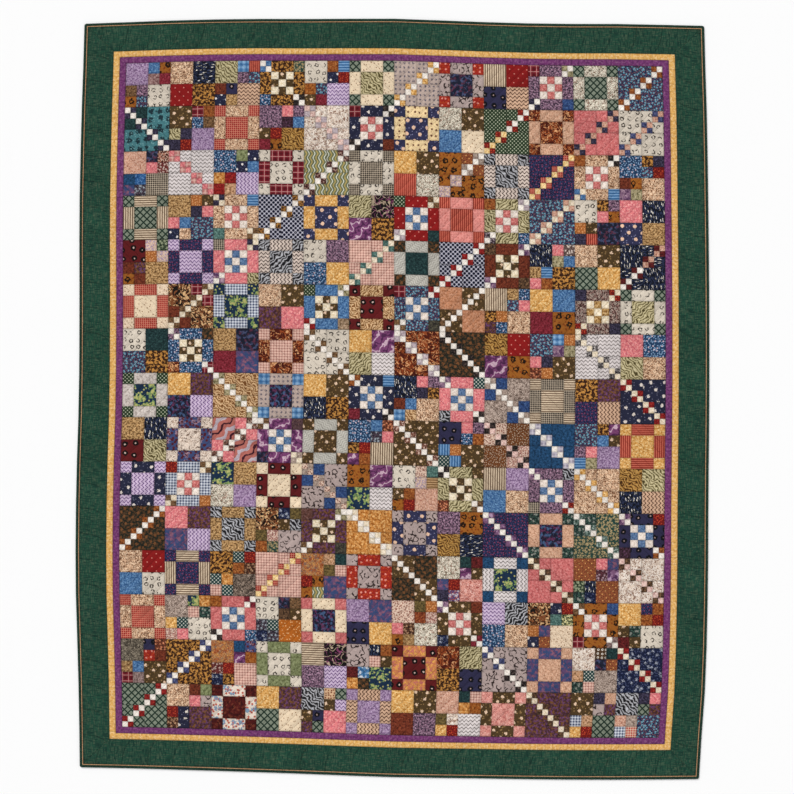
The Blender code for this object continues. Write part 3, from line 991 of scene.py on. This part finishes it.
recipes = [line for line in BLOCK_CHART.replace("\n:", " :").split("\n") if line]
lean = np.array([[leans_right(r + 1, c + 1) for c in range(COLUMNS)] for r in range(ROWS)])
face_lean = np.kron(lean, np.ones((SQUARES, SQUARES), bool))
cloth_names = sorted({patch[4].strip("*") for recipe in recipes for patch in block_patches(recipe)})
face_cloth = np.zeros((ROWS * SQUARES, COLUMNS * SQUARES), int)
face_turned = np.zeros(face_cloth.shape, bool)
face_patch = np.zeros(face_cloth.shape, int)
face_shift = np.zeros(face_cloth.shape + (2,))
CLOTH_REACH = 900.0  # millimetres of cloth each way that a patch may be cut from
scissors = np.random.default_rng(11)
patch_count = 0
for number, recipe in enumerate(recipes):
    block_row, block_column = divmod(number, COLUMNS)
    for left, top, width, height, cloth in block_patches(recipe):
        x0, x1 = [round(x * UNIT_SQUARES) + block_column * SQUARES for x in (left, left + width)]
        y0, y1 = [round(y * UNIT_SQUARES) + block_row * SQUARES for y in (top, top + height)]
        patch_count += 1
        here = slice(y0, y1), slice(x0, x1)
        face_cloth[here] = cloth_names.index(cloth.strip("*"))
        face_turned[here] = cloth.count("*") % 2 == 1
        face_patch[here] = patch_count
        face_shift[here] = scissors.uniform(-CLOTH_REACH, CLOTH_REACH, 2)

across, down = np.meshgrid(np.arange(COLUMNS * SQUARES + 1), np.arange(ROWS * SQUARES + 1))
sewn_x = (across / SQUARES - COLUMNS / 2) * BLOCK
sewn_y = (ROWS / 2 - down / SQUARES) * BLOCK
SEAM_FALLS = (0.5, 0.15)  # what is left of a seam's shade one mesh square away, and two


def near_seams():
    """1 on every patch seam, falling to nothing within a few millimetres."""
    padded = np.pad(face_patch, 1)
    first = padded[:-1, :-1]
    on_seam = np.zeros(sewn_x.shape, bool)
    for quarter in (padded[:-1, 1:], padded[1:, :-1], padded[1:, 1:]):
        on_seam |= quarter != first
    near = on_seam.astype(float)
    for fall in SEAM_FALLS:
        spread = np.pad(near > fall, 1)
        beside = spread[:-2, 1:-1] | spread[2:, 1:-1] | spread[1:-1, :-2] | spread[1:-1, 2:]
        near = np.maximum(near, np.where(beside, fall, 0.0))
    return near


# How roundly the cloth puffs and how full, with slow and quick changes from place to place.
PUFF_ROUNDNESS = 0.75
LOFT = 0.88
SLOW_CHANGE, SLOW_SIZE = 0.16, 90 * MM
QUICK_CHANGE, QUICK_SIZE = 0.1, 24 * MM
# Small puckers run across the stitching, a new set in each channel, and lie most beside it.
PUCKER_RISE, PUCKER_SIZE, PUCKER_STEP = 0.45 * MM, 8 * MM, 9 * MM
PUCKER_PLACE, PUCKER_SPREAD = 0.35, 0.3
CRUMPLE_RISE, CRUMPLE_SIZE = 0.22 * MM, 9 * MM
# What a seam takes from the puffs and from the puckers, and how the cloth turns down at the rim.
PUFF_LOST, PUCKER_LOST = 0.5, 0.6
RIM_SQUARES, RIM_ROUNDNESS = 2.5, 0.7


def quilted_heights():
    """The top of the patchwork: puffed between stitched lines and drawn down at its seams."""
    rows = np.minimum(down // SQUARES, ROWS - 1)
    columns = np.minimum(across // SQUARES, COLUMNS - 1)
    right = lean[rows, columns]
    channel = np.where(right, across + down, across - down) / UNIT_SQUARES
    along = np.where(right, across - down, across + down) * BLOCK / SQUARES / math.sqrt(2)
    off = np.abs(channel - np.rint(channel)) * 2
    puff = np.sin(off * math.pi / 2) ** PUFF_ROUNDNESS
    loft = LOFT + SLOW_CHANGE * hills(sewn_x, sewn_y, SLOW_SIZE, 3)
    loft += QUICK_CHANGE * hills(sewn_x, sewn_y, QUICK_SIZE, 4)
    pucker = hills(along, channel * PUCKER_STEP, PUCKER_SIZE, 5)
    pucker *= np.exp(-(((off - PUCKER_PLACE) / PUCKER_SPREAD) ** 2))
    crumple = hills(sewn_x, sewn_y, CRUMPLE_SIZE, 6)
    rise = (PUFF_HEIGHT - SEAM_HEIGHT) * puff * loft * (1 - PUFF_LOST * seam_shade)
    unevenness = PUCKER_RISE * pucker + CRUMPLE_RISE * crumple * puff
    rise += unevenness * (1 - PUCKER_LOST * seam_shade)
    to_side = np.minimum(across, COLUMNS * SQUARES - across)
    to_end = np.minimum(down, ROWS * SQUARES - down)
    rim = np.minimum(np.minimum(to_side, to_end) / RIM_SQUARES, 1.0) ** RIM_ROUNDNESS
    return SEAM_HEIGHT + rise * rim


seam_shade = near_seams()
heights = quilted_heights()
sewn_x[:, 0] += GAP / 2
sewn_x[:, -1] -= GAP / 2
sewn_y[0, :] -= GAP / 2
sewn_y[-1, :] += GAP / 2


def set_uv(mesh, name, *parts):
    """A named map over the corners of a mesh, from its two parts."""
    layer = mesh.uv_layers.new(name=name, do_init=False)
    layer.uv.foreach_set("vector", np.stack(parts, -1).astype(np.float32).ravel())


def set_seam_shade(mesh, shade):
    """How near each point of a mesh is to a seam, from 0 to 1, which the cottons paint as shade."""
    layer = mesh.attributes.new("seam", "FLOAT", "POINT")
    layer.data.foreach_set("value", shade.astype(np.float32))


def make_piece(mesh):
    """A new piece of the quilt from its finished mesh, which also names it."""
    mesh.update()
    piece = bpy.data.objects.new(mesh.name, mesh)
    bpy.context.scene.collection.objects.link(piece)
    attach(piece, "root")
    return piece


# A row laid out flat on its map: blocks four by three, above a narrow strip for its plain back.
MAP_COLUMNS, MAP_ROWS = 4, 3
MAP_STRIP = 0.03
BLOCK_MARGIN, BACK_MARGIN = 0.004, 0.002
BACK_FOOT, BACK_DEPTH = 0.003, 0.02


def patchwork_row(row):
    """One row of blocks: quilted top, straight walls and flat back."""
    lines = slice(row * SQUARES, (row + 1) * SQUARES + 1)
    squares = slice(row * SQUARES, (row + 1) * SQUARES)
    x, y, z = sewn_x[lines], sewn_y[lines], heights[lines]
    index = np.arange(x.size).reshape(x.shape)
    a, b, c, d = index[:-1, :-1], index[:-1, 1:], index[1:, 1:], index[1:, :-1]
    rising = np.stack((d, c, b, a), -1)
    falling = np.stack((a, d, c, b), -1)
    quads = np.where(face_lean[squares][..., None], rising, falling).reshape(-1, 4)
    seams = np.arange(COLUMNS + 1) * SQUARES
    head = x.size + np.arange(COLUMNS + 1)
    foot = head + COLUMNS + 1
    plain = []
    for k in range(COLUMNS):
        line = range(seams[k], seams[k + 1] + 1)
        plain.append([head[k + 1], head[k], *index[0, line]])
        plain.append([foot[k], foot[k + 1], *index[-1, line][::-1]])
        plain.append([head[k], head[k + 1], foot[k + 1], foot[k]])
    plain.append([head[0], foot[0], *index[::-1, 0]])
    plain.append([foot[-1], head[-1], *index[:, -1]])
    plain = [[int(i) for i in face] for face in plain]
    flat_x = np.concatenate((x.ravel(), x[0, seams], x[-1, seams]))
    flat_y = np.concatenate((y.ravel(), y[0, seams], y[-1, seams]))
    flat_z = np.concatenate((z.ravel(), np.zeros(2 * len(seams))))
    mesh = bpy.data.meshes.new(f"patchwork_row_{row + 1:02d}")
    points = np.stack((*lie(flat_x, flat_y), flat_z), -1)
    mesh.from_pydata(points.tolist(), [], quads.tolist() + plain)

    corners = np.concatenate((quads.ravel(), *plain))

    def on_corners(values):
        """A value of each quilted square, given to its corners; the plain faces have none."""
        filled = np.zeros(corners.size, values.dtype)
        filled[: quads.size] = np.repeat(values.ravel(), 4)
        return filled

    turned, right = on_corners(face_turned[squares]), on_corners(face_lean[squares])
    shift_x, shift_y = [on_corners(face_shift[squares][..., part]) for part in (0, 1)]
    cx, cy = flat_x[corners] / MM, flat_y[corners] / MM
    set_uv(mesh, "cut", np.where(turned, -cy, cx) + shift_x, np.where(turned, cx, cy) + shift_y)
    unit = BLOCK / MM / 4
    along = np.where(right, cx + cy, cx - cy) / math.sqrt(2)
    set_uv(mesh, "stitch", np.where(right, cx - cy, cx + cy) / unit, along)

    quilted = np.arange(corners.size) < quads.size
    block = on_corners(np.tile(np.arange(COLUMNS * SQUARES) // SQUARES, SQUARES))
    in_x = cx * MM / BLOCK + COLUMNS / 2 - block
    in_y = cy * MM / BLOCK - (ROWS / 2 - row - 1)
    u, v = [BLOCK_MARGIN + (1 - 2 * BLOCK_MARGIN) * part for part in (in_x, in_y)]
    u = (block % MAP_COLUMNS + u) / MAP_COLUMNS
    v = MAP_STRIP + (1 - MAP_STRIP) * (block // MAP_COLUMNS + v) / MAP_ROWS
    back_u = BACK_MARGIN + (1 - 2 * BACK_MARGIN) * (cx * MM / CENTRE_WIDTH + 0.5)
    back_v = BACK_FOOT + BACK_DEPTH * in_y
    set_uv(mesh, "OFBake", np.where(quilted, u, back_u), np.where(quilted, v, back_v))
    # The walls and the flat back take full painted seam shade, so they are painted darker all over.
    set_seam_shade(mesh, np.concatenate((seam_shade[lines].ravel(), np.ones(2 * len(seams)))))

    used, slots = np.unique(face_cloth[squares], return_inverse=True)
    for cloth in [cloth_names[number] for number in used] + ["natural-back"]:
        mesh.materials.append(cotton(cloth))
    material_index = np.concatenate((slots.ravel(), np.full(len(plain), len(used))))
    mesh.polygons.foreach_set("material_index", material_index.astype(np.int32))
    mesh.polygons.foreach_set("use_smooth", np.arange(len(material_index)) < len(quads))
    piece = make_piece(mesh)
    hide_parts("patchwork_centre")


for row in range(ROWS):
    patchwork_row(row)


# ---- The border strips ---------------------------------------------------------------------------
# Purple and gold strips, cut on the straight from mottled cotton, sewn round the centre and mitred
# at the corners. Short crosswise lines of quilting pinch them every inch.

SIDES = {"right": (1, 0), "head": (0, 1), "left": (-1, 0), "foot": (0, -1)}
BORDER_ORDER = list(BORDER_WIDTHS)


def half_sizes(border, distance_share):
    """Half width and half length of the rectangle at a share of the way across a border."""
    inside = BORDER_ORDER[: BORDER_ORDER.index(border)]
    half_x = CENTRE_WIDTH / 2 + sum(BORDER_WIDTHS[name][0] for name in inside)
    half_y = CENTRE_LENGTH / 2 + sum(BORDER_WIDTHS[name][1] for name in inside)
    side, end = BORDER_WIDTHS[border]
    return half_x + side * distance_share, half_y + end * distance_share


def half_length(border, side, distance_share):
    """Half the length of a strip at a share of the way across it."""
    return half_sizes(border, distance_share)[1 if SIDES[side][0] else 0]


def strip_width(border, side):
    """How wide a border is on one side of the quilt."""
    return BORDER_WIDTHS[border][0 if SIDES[side][0] else 1]


def strip_places(border, side, shares, along):
    """Where sewn points of a strip are; along runs anticlockwise round the quilt."""
    side_x, side_y = SIDES[side]
    half_x, half_y = half_sizes(border, shares + 0 * along)
    if side_x:
        return side_x * half_x, side_x * along
    return -side_y * along, side_y * half_y


def even_stations(border, side, spacing, near_corner=()):
    """Stations from -1 to 1 along a strip, evenly spaced, with closer ones near its corners."""
    half = half_length(border, side, 1.0)
    clear = max(near_corner, default=0.0)
    count = max(2, round(2 * (half - clear) / spacing))
    middle = np.linspace(clear - half, half - clear, count + 1)
    ends = np.array([half - step for step in near_corner if step < clear])
    return np.unique(np.concatenate((middle, ends, -ends))) / half


def section_lengths(shares, height, width):
    """How far round a section each of its points is, in millimetres, and back to the first."""
    flat = np.concatenate((shares, shares[:1])) * width
    up = np.concatenate((height, height[:1]))
    return np.concatenate(([0.0], np.cumsum(np.hypot(np.diff(flat), np.diff(up))))) / MM


def no_stitching(along, column, around):
    """Away from any line of quilting."""
    return 0.5 + 0 * along, along


WELD = 0.02 * MM  # points of two strips nearer than this are sewn into one
# Strips are laid out on their map in even rows, with these bare margins as shares.
END_MARGIN, SIDE_MARGIN = 0.02, 0.03
RING_MAP_ROWS = 20


def sew_strips(name, grids, sewn_of, flat_columns, map_rows, stitch_of=no_stitching, capped=False):
    """Skins grids of sewn points into one closed piece and carries it to where it lies.

    A grid's points run along its strip and round its closed section. sewn_of names the piece's
    cloths, each with how many columns of faces round the section are made of it. flat_columns
    aren't shaded smooth."""
    vertices, faces, columns, shade, corners = [], [], [], [], []
    start = 0.0
    first = 0
    for grid in grids:
        points, along, around = grid["points"], grid["along"], grid["around"]
        stations, section = points.shape[:2]
        k, c = [v.ravel() for v in np.indices((stations - 1, section))]
        corner_k = np.stack((k, k, k + 1, k + 1), -1)
        corner_c = np.stack((c, c + 1, c + 1, c), -1)
        faces += (corner_k * section + corner_c % section + first).tolist()
        columns.append(c)
        start -= along.min()
        here, distance = along[corner_k, corner_c % section], around[corner_c]
        stitch = stitch_of(here, corner_c % section, distance)
        laid_out = (here + start, distance, distance / around[-1], *stitch)
        corners.append(np.stack(laid_out, -1))
        if capped:
            ring = np.arange(section)
            for station, order in ((0, ring[::-1]), (stations - 1, ring)):
                faces.append([int(first + station * section + i) for i in order])
                columns.append(np.array([flat_columns[0]]))
                here, distance = along[station, order] + start, around[order]
                still = 0.5 + 0 * here
                laid_out = (here, distance, distance / around[-1], still, still)
                corners.append(np.stack(laid_out, -1))
        start += along.max()
        first += stations * section
        vertices.append(points.reshape(-1, 3))
        shade.append(np.tile(grid.get("seam", np.zeros(section)), stations))
    mesh = bpy.data.meshes.new(name)
    mesh.from_pydata(np.concatenate(vertices).tolist(), [], faces)
    set_seam_shade(mesh, np.concatenate(shade))
    along, distance, share, *stitch = np.concatenate([part.reshape(-1, 5) for part in corners]).T
    set_uv(mesh, "cut", along, distance)
    set_uv(mesh, "stitch", *stitch)
    sizes = np.array([len(face) for face in faces])
    middle = np.add.reduceat(along, np.cumsum(sizes) - sizes) / sizes
    row_length = start / map_rows
    row = np.repeat(np.clip(middle // row_length, 0, map_rows - 1), sizes)
    u = END_MARGIN + (1 - 2 * END_MARGIN) * (along / row_length - row)
    v = (row + SIDE_MARGIN + (1 - 2 * SIDE_MARGIN) * share) / map_rows
    set_uv(mesh, "OFBake", u, v)
    for cloth in sewn_of:
        mesh.materials.append(cotton(cloth))
    columns = np.concatenate(columns)
    cloth_of = np.repeat(np.arange(len(sewn_of), dtype=np.int32), list(sewn_of.values()))
    mesh.polygons.foreach_set("material_index", cloth_of[columns])
    mesh.polygons.foreach_set("use_smooth", ~np.isin(columns, flat_columns))
    shape = bmesh.new()
    shape.from_mesh(mesh)
    bmesh.ops.remove_doubles(shape, verts=shape.verts, dist=WELD)
    bmesh.ops.recalc_face_normals(shape, faces=shape.faces)
    shape.to_mesh(mesh)
    shape.free()
    sewn = np.zeros(len(mesh.vertices) * 3)
    mesh.vertices.foreach_get("co", sewn)
    sewn = sewn.reshape(-1, 3)
    sewn[:, 0], sewn[:, 1] = lie(sewn[:, 0], sewn[:, 1])
    mesh.vertices.foreach_set("co", sewn.ravel())
    return make_piece(mesh)


stock(CLOUDED, """
purple-border 703468 825078 5c2a58 8 .3 .3 wear=.5
gold-border deac60 e8c088 cc9850 8 .35 .3 wear=.4
""")
STRIP_CROWN = 5.5 * MM
STRIP_ROUNDNESS = 0.6
STRIP_STATIONS = 8.4 * MM
STRIP_SHARES = np.array([0.0, 0.05, 0.16, 0.32, 0.5, 0.68, 0.84, 0.95, 1.0])
STRIP_SHADE = 0.55  # how wide the shade along its seams is
PINCH_PITCH = 25.2  # millimetres between crosswise lines of quilting
PINCHED_LOFT, PINCH_DEPTH = 0.72, 0.28
STRIP_CHANGE, STRIP_CHANGE_SIZE = 0.2, 13 * MM
STRIP_CRUMPLE, STRIP_CRUMPLE_SIZE = 0.15 * MM, 6 * MM


def narrow_border(border, seed):
    """A crowned strip round the quilt, pinched by its crosswise stitching."""
    grids = []
    for number, side in enumerate(SIDES, seed):
        width = strip_width(border, side)
        inset = GAP / 2 / width
        top = np.clip(STRIP_SHARES, inset, 1 - inset)
        shares = np.concatenate((top, [1 - inset, inset]))
        stations = even_stations(border, side, STRIP_STATIONS)[:, None]
        place = stations * half_length(border, side, 0.5)
        crown = np.sin(STRIP_SHARES * math.pi) ** STRIP_ROUNDNESS
        pinch = np.abs(place / MM / PINCH_PITCH - np.rint(place / MM / PINCH_PITCH)) * 2
        loft = PINCHED_LOFT + PINCH_DEPTH * np.sin(pinch * math.pi / 2)
        loft = loft + STRIP_CHANGE * hills(place, place * 0 + number, STRIP_CHANGE_SIZE, number)
        height = SEAM_HEIGHT + (STRIP_CROWN - SEAM_HEIGHT) * crown * loft
        height += STRIP_CRUMPLE * hills(place, top * width, STRIP_CRUMPLE_SIZE, number) * crown
        height = np.concatenate((height, np.zeros((len(stations), 2))), 1)
        along = stations * half_length(border, side, shares)
        grids.append({
            "points": np.stack((*strip_places(border, side, shares, along), height), -1),
            "along": along / MM,
            "around": section_lengths(shares, height[len(stations) // 2], width),
            # Painted shade along both seams, in full on the strip's sides and underside.
            "seam": np.clip(1 - np.sin(shares * math.pi) / STRIP_SHADE, 0.0, 1.0),
        })
    columns = len(STRIP_SHARES) - 1
    piece = sew_strips(
        f"{border}_border",
        grids,
        sewn_of={f"{border}-border": columns, "natural-back": 3},
        flat_columns=[columns, columns + 1, columns + 2],
        map_rows=RING_MAP_ROWS,
        stitch_of=lambda along, column, around: (along / PINCH_PITCH, around),
    )
    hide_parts(*[f"{border}_{side}" for side in SIDES])


narrow_border("purple", 20)
narrow_border("gold", 30)


# ---- The green border ----------------------------------------------------------------------------
# Four wide mitred strips of shot cotton, dark green one way with rust threads the other, quilted in
# sweeping arcs. Each runs on under the flange and into the fold of the binding.

stock(SLUBBED, "shot-green 1b4434 3e5240 12342a 26 3 .3 .36")
ARC_PITCH = 87.0 * MM
ARC_DROP = 46.0 * MM
ARC_STEPS = 16
ARC_SHARES = [0.0, 0.008, 0.03, 0.07, 0.13, 0.21, 0.31, 0.42, 0.54, 0.66, 0.78, 0.9, 1.0]
ARC_ROUNDNESS = 0.7
EDGE_ROUNDNESS = 0.35
MARGIN = 10.4 * MM
MARGIN_UNDERSIDE = [(10.4 * MM, 1.3 * MM), (2.5 * MM, 1.3 * MM), (1.5 * MM, 0.0)]
MITRE_GAP = 0.1 * MM
MITRE_LOFT = 0.55
MITRE_EASE = 8 * MM
GREEN_LOFT = 0.9
GREEN_SLOW, GREEN_SLOW_SIZE = 0.22, 60 * MM
GREEN_QUICK, GREEN_QUICK_SIZE = 0.14, 16 * MM
GREEN_CRUMPLE, GREEN_CRUMPLE_SIZE = 0.3 * MM, 8 * MM
GREEN_SHADE = 7 * MM  # how wide the shade along the gold strip is
UNDER_FLANGE = 0.995  # the share of its width from which the flange hides it
GREEN_MAP_ROWS = 5


def arc_rise(share):
    """How far an arc of quilting has swept along the border at a share of the way across it."""
    return ARC_DROP * np.sqrt(1.0 - (1.0 - np.minimum(share, 1.0)) ** 2)


def green_strip(side, number):
    """One green strip, its mesh following the arcs: stitched down on each and puffed between."""
    width = strip_width("green", side)
    beyond = np.array([step for step, height in MARGIN_UNDERSIDE]) / width
    shares = np.concatenate((ARC_SHARES, [1 + MARGIN / width], 1 + beyond, [0.0]))
    shares[0] = shares[-1] = GAP / 2 / width
    rise = arc_rise(shares)
    limit = half_length("green", side, shares) - MITRE_GAP
    limit = np.minimum(limit, half_length("green", side, 1.0) + MARGIN)
    steps = math.ceil((limit.max() + ARC_DROP) / ARC_PITCH * ARC_STEPS)
    start = np.arange(-steps, steps + 1)[:, None] * ARC_PITCH / ARC_STEPS
    along = np.clip(start - rise, -limit, limit)
    phase = start / ARC_PITCH
    off = np.abs(phase - np.rint(phase)) * 2
    top = len(ARC_SHARES)
    crown = np.clip(np.sin(np.clip(shares, 0, 1) * math.pi), 0, 1) ** EDGE_ROUNDNESS
    from_mitre = np.clip((limit - np.abs(along)) / MITRE_EASE, 0.0, 1.0)
    x, y = strip_places("green", side, shares, along)
    loft = GREEN_LOFT + GREEN_SLOW * hills(x, y, GREEN_SLOW_SIZE, number)
    loft += GREEN_QUICK * hills(x, y, GREEN_QUICK_SIZE, number + 1)
    puff = np.sin(off * math.pi / 2) ** ARC_ROUNDNESS * loft * from_mitre
    puff += MITRE_LOFT * (1 - from_mitre)
    height = SEAM_HEIGHT + (PUFF_HEIGHT - SEAM_HEIGHT) * puff * crown
    crumple = hills(x, y, GREEN_CRUMPLE_SIZE, number + 2)
    height += GREEN_CRUMPLE * crumple * crown * from_mitre
    height[:, top - 1 : top + 1] = SEAM_HEIGHT
    height[:, top + 1 : top + 4] = [h for step, h in MARGIN_UNDERSIDE]
    height[:, -1] = 0.0
    arc = np.concatenate(([0.0], np.cumsum(np.hypot(np.diff(shares) * width, np.diff(rise))))) / MM
    grid = {
        "points": np.stack((x, y, height), -1),
        "along": along / MM,
        "around": section_lengths(shares, height[steps], width),
        # Painted shade along the gold strip, and full painted shade where the flange hides the
        # strip and on its underside.
        "seam": np.clip(1 - shares * width / GREEN_SHADE, 0.0, 1.0) + (shares > UNDER_FLANGE),
    }
    hidden = len(shares) - top
    piece = sew_strips(
        f"green_border_{side}",
        [grid],
        sewn_of={"shot-green": top, "natural-back": hidden},
        flat_columns=list(range(top, top + hidden)),
        map_rows=GREEN_MAP_ROWS,
        stitch_of=lambda here, column, around: (
            (here * MM + rise[column]) / ARC_PITCH,
            arc[column],
        ),
        capped=True,
    )
    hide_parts(f"green_{side}")


for number, side in enumerate(SIDES):
    green_strip(side, 40 + 5 * number)


# ---- The flange ----------------------------------------------------------------------------------
# A folded tan cotton strip, caught in the binding's seam all round, so that a narrow lip of it lies
# on the green border.

stock(CLOUDED, "tan-flange b98c66 c8a07c 9c7450 4 .3 .3")
# Its section: distance from the inner edge and height, in millimetres.
FLANGE_SECTION = [(0.5, 3.9), (0.35, 4.5), (0.8, 4.95), (1.8, 5.0), (2.85, 4.95), (2.85, 3.9)]
FLANGE_FLAT = [4, 5]  # columns that lie against other layers
FLANGE_STATIONS, FLANGE_RIPPLE = 18 * MM, 0.25 * MM
CORNER_STEPS = [step * MM for step in (0.0, 2, 4, 6.5, 9, 12, 15, 20)]  # closer near a corner
# A strip ripples above this height in millimetres, but not at its ends: the ripple dies out over
# the last of this many parts of half a side.
RIPPLE_FROM, RIPPLE_SIZE = 3.9, 16 * MM
STILL_END = 80


def edge_strip(border, section, spacing, ripple, seed):
    """Grids for a narrow folded strip that follows the quilt's edge, rippling a little."""
    grids = []
    for number, side in enumerate(SIDES, seed):
        width = strip_width(border, side)
        distance, height = np.array(section).T
        shares = distance * MM / width
        stations = even_stations(border, side, spacing, CORNER_STEPS)[:, None]
        place = stations * half_length(border, side, 1.0)
        loose = np.clip(height - RIPPLE_FROM, 0.0, 1.0)
        loose = loose * np.clip((1 - np.abs(stations)) * STILL_END, 0, 1)
        rise = loose * ripple * hills(place, place * 0 + number, RIPPLE_SIZE, number)
        height = height * MM + rise
        along = stations * half_length(border, side, shares)
        grids.append({
            "points": np.stack((*strip_places(border, side, shares, along), height), -1),
            "along": along / MM,
            "around": section_lengths(shares, height[0], width),
        })
    return grids


flange = sew_strips(
    "flange_lip",
    edge_strip("flange", FLANGE_SECTION, FLANGE_STATIONS, FLANGE_RIPPLE, 60),
    sewn_of={"tan-flange": len(FLANGE_SECTION)},
    flat_columns=FLANGE_FLAT,
    map_rows=RING_MAP_ROWS,
)
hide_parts(*[f"flange_{side}" for side in SIDES])


# ---- The binding ---------------------------------------------------------------------------------
# A dark green cotton strip folded over the raw edges of all the layers and stitched down, front and
# back, mitred at the corners and softly rounded where it turns.

stock(SLUBBED, "binding-green 163428 284838 0e1c16 8 1.2 .3 .35")
BINDING_STATIONS, BINDING_RIPPLE = 10 * MM, 0.3 * MM
# Its section: over the top, round the edge, and back along the underside and inside the fold.
BINDING_TOP = [(0.15, 3.9), (0.15, 4.6), (0.6, 5.1), (2.0, 5.4), (4.5, 5.45), (6.8, 5.2)]
BINDING_TURN = [(8.3, 4.5), (9.0, 3.2), (8.95, 1.6), (8.1, 0.3)]
BINDING_UNDER = [(7.0, 0.0), (0.15, 0.0), (0.15, 1.0), (7.7, 1.0), (7.7, 3.9)]
BINDING_SECTION = BINDING_TOP + BINDING_TURN + BINDING_UNDER
BINDING_FLAT = [10, 11, 12, 13, 14]

binding = sew_strips(
    "binding_strip",
    edge_strip("binding", BINDING_SECTION, BINDING_STATIONS, BINDING_RIPPLE, 70),
    sewn_of={"binding-green": len(BINDING_SECTION)},
    flat_columns=BINDING_FLAT,
    map_rows=RING_MAP_ROWS,
)
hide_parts(*[f"binding_{side}" for side in SIDES])


# ---- The room ------------------------------------------------------------------------------------
# A plain white floor, soft light from above with a little more from the upper left, and a camera
# that looks straight down.

FLOOR_SIZE = 60.0
FLOOR_DROP = 0.3 * MM
FLOOR_WHITE = (0.96, 0.96, 0.96, 1.0)
FLOOR_ROUGHNESS = 0.9
ROOM_WHITE = (1.0, 1.0, 1.0, 1.0)
ROOM_LIGHT = 0.55

floor_mesh = bpy.data.meshes.new("floor")
half = FLOOR_SIZE / 2
floor_corners = [(-half, -half, 0), (half, -half, 0), (half, half, 0), (-half, half, 0)]
floor_mesh.from_pydata(floor_corners, [], [(0, 1, 2, 3)])
floor = bpy.data.objects.new("floor", floor_mesh)
floor.location.z = -FLOOR_DROP
bpy.context.scene.collection.objects.link(floor)
paper = bpy.data.materials.new("white floor")
paper.use_nodes = True
surface = paper.node_tree.nodes["Principled BSDF"].inputs
feed(surface["Base Color"], FLOOR_WHITE)
feed(surface["Roughness"], FLOOR_ROUGHNESS)
floor_mesh.materials.append(paper)

world = bpy.data.worlds.new("studio")
world.use_nodes = True
glow = world.node_tree.nodes["Background"].inputs
feed(glow["Color"], ROOM_WHITE)
feed(glow["Strength"], ROOM_LIGHT)
bpy.context.scene.world = world


def sun(name, strength, softness, tilt, heading):
    """A broad soft light from far off, tilted from overhead towards a compass heading."""
    lamp = bpy.data.lights.new(name, "SUN")
    lamp.energy = strength
    lamp.angle = math.radians(softness)
    light = bpy.data.objects.new(name, lamp)
    light.rotation_euler = (math.radians(tilt), 0.0, math.radians(heading))
    bpy.context.scene.collection.objects.link(light)


sun("overhead light", strength=0.5, softness=60.0, tilt=8.0, heading=30.0)
sun("window light", strength=1.6, softness=20.0, tilt=52.0, heading=215.0)

CAMERA_HEIGHT = 6.35
FRAME_WIDTH = 2.6893
FRAME_CENTRE = (0.0155, 0.0075)
lens = bpy.data.cameras.new("camera")
lens.sensor_width = 36.0
lens.lens = lens.sensor_width * CAMERA_HEIGHT / FRAME_WIDTH
camera = bpy.data.objects.new("camera", lens)
camera.location = (*FRAME_CENTRE, CAMERA_HEIGHT)
bpy.context.scene.collection.objects.link(camera)
bpy.context.scene.camera = camera
bpy.context.scene.view_settings.view_transform = "Standard"
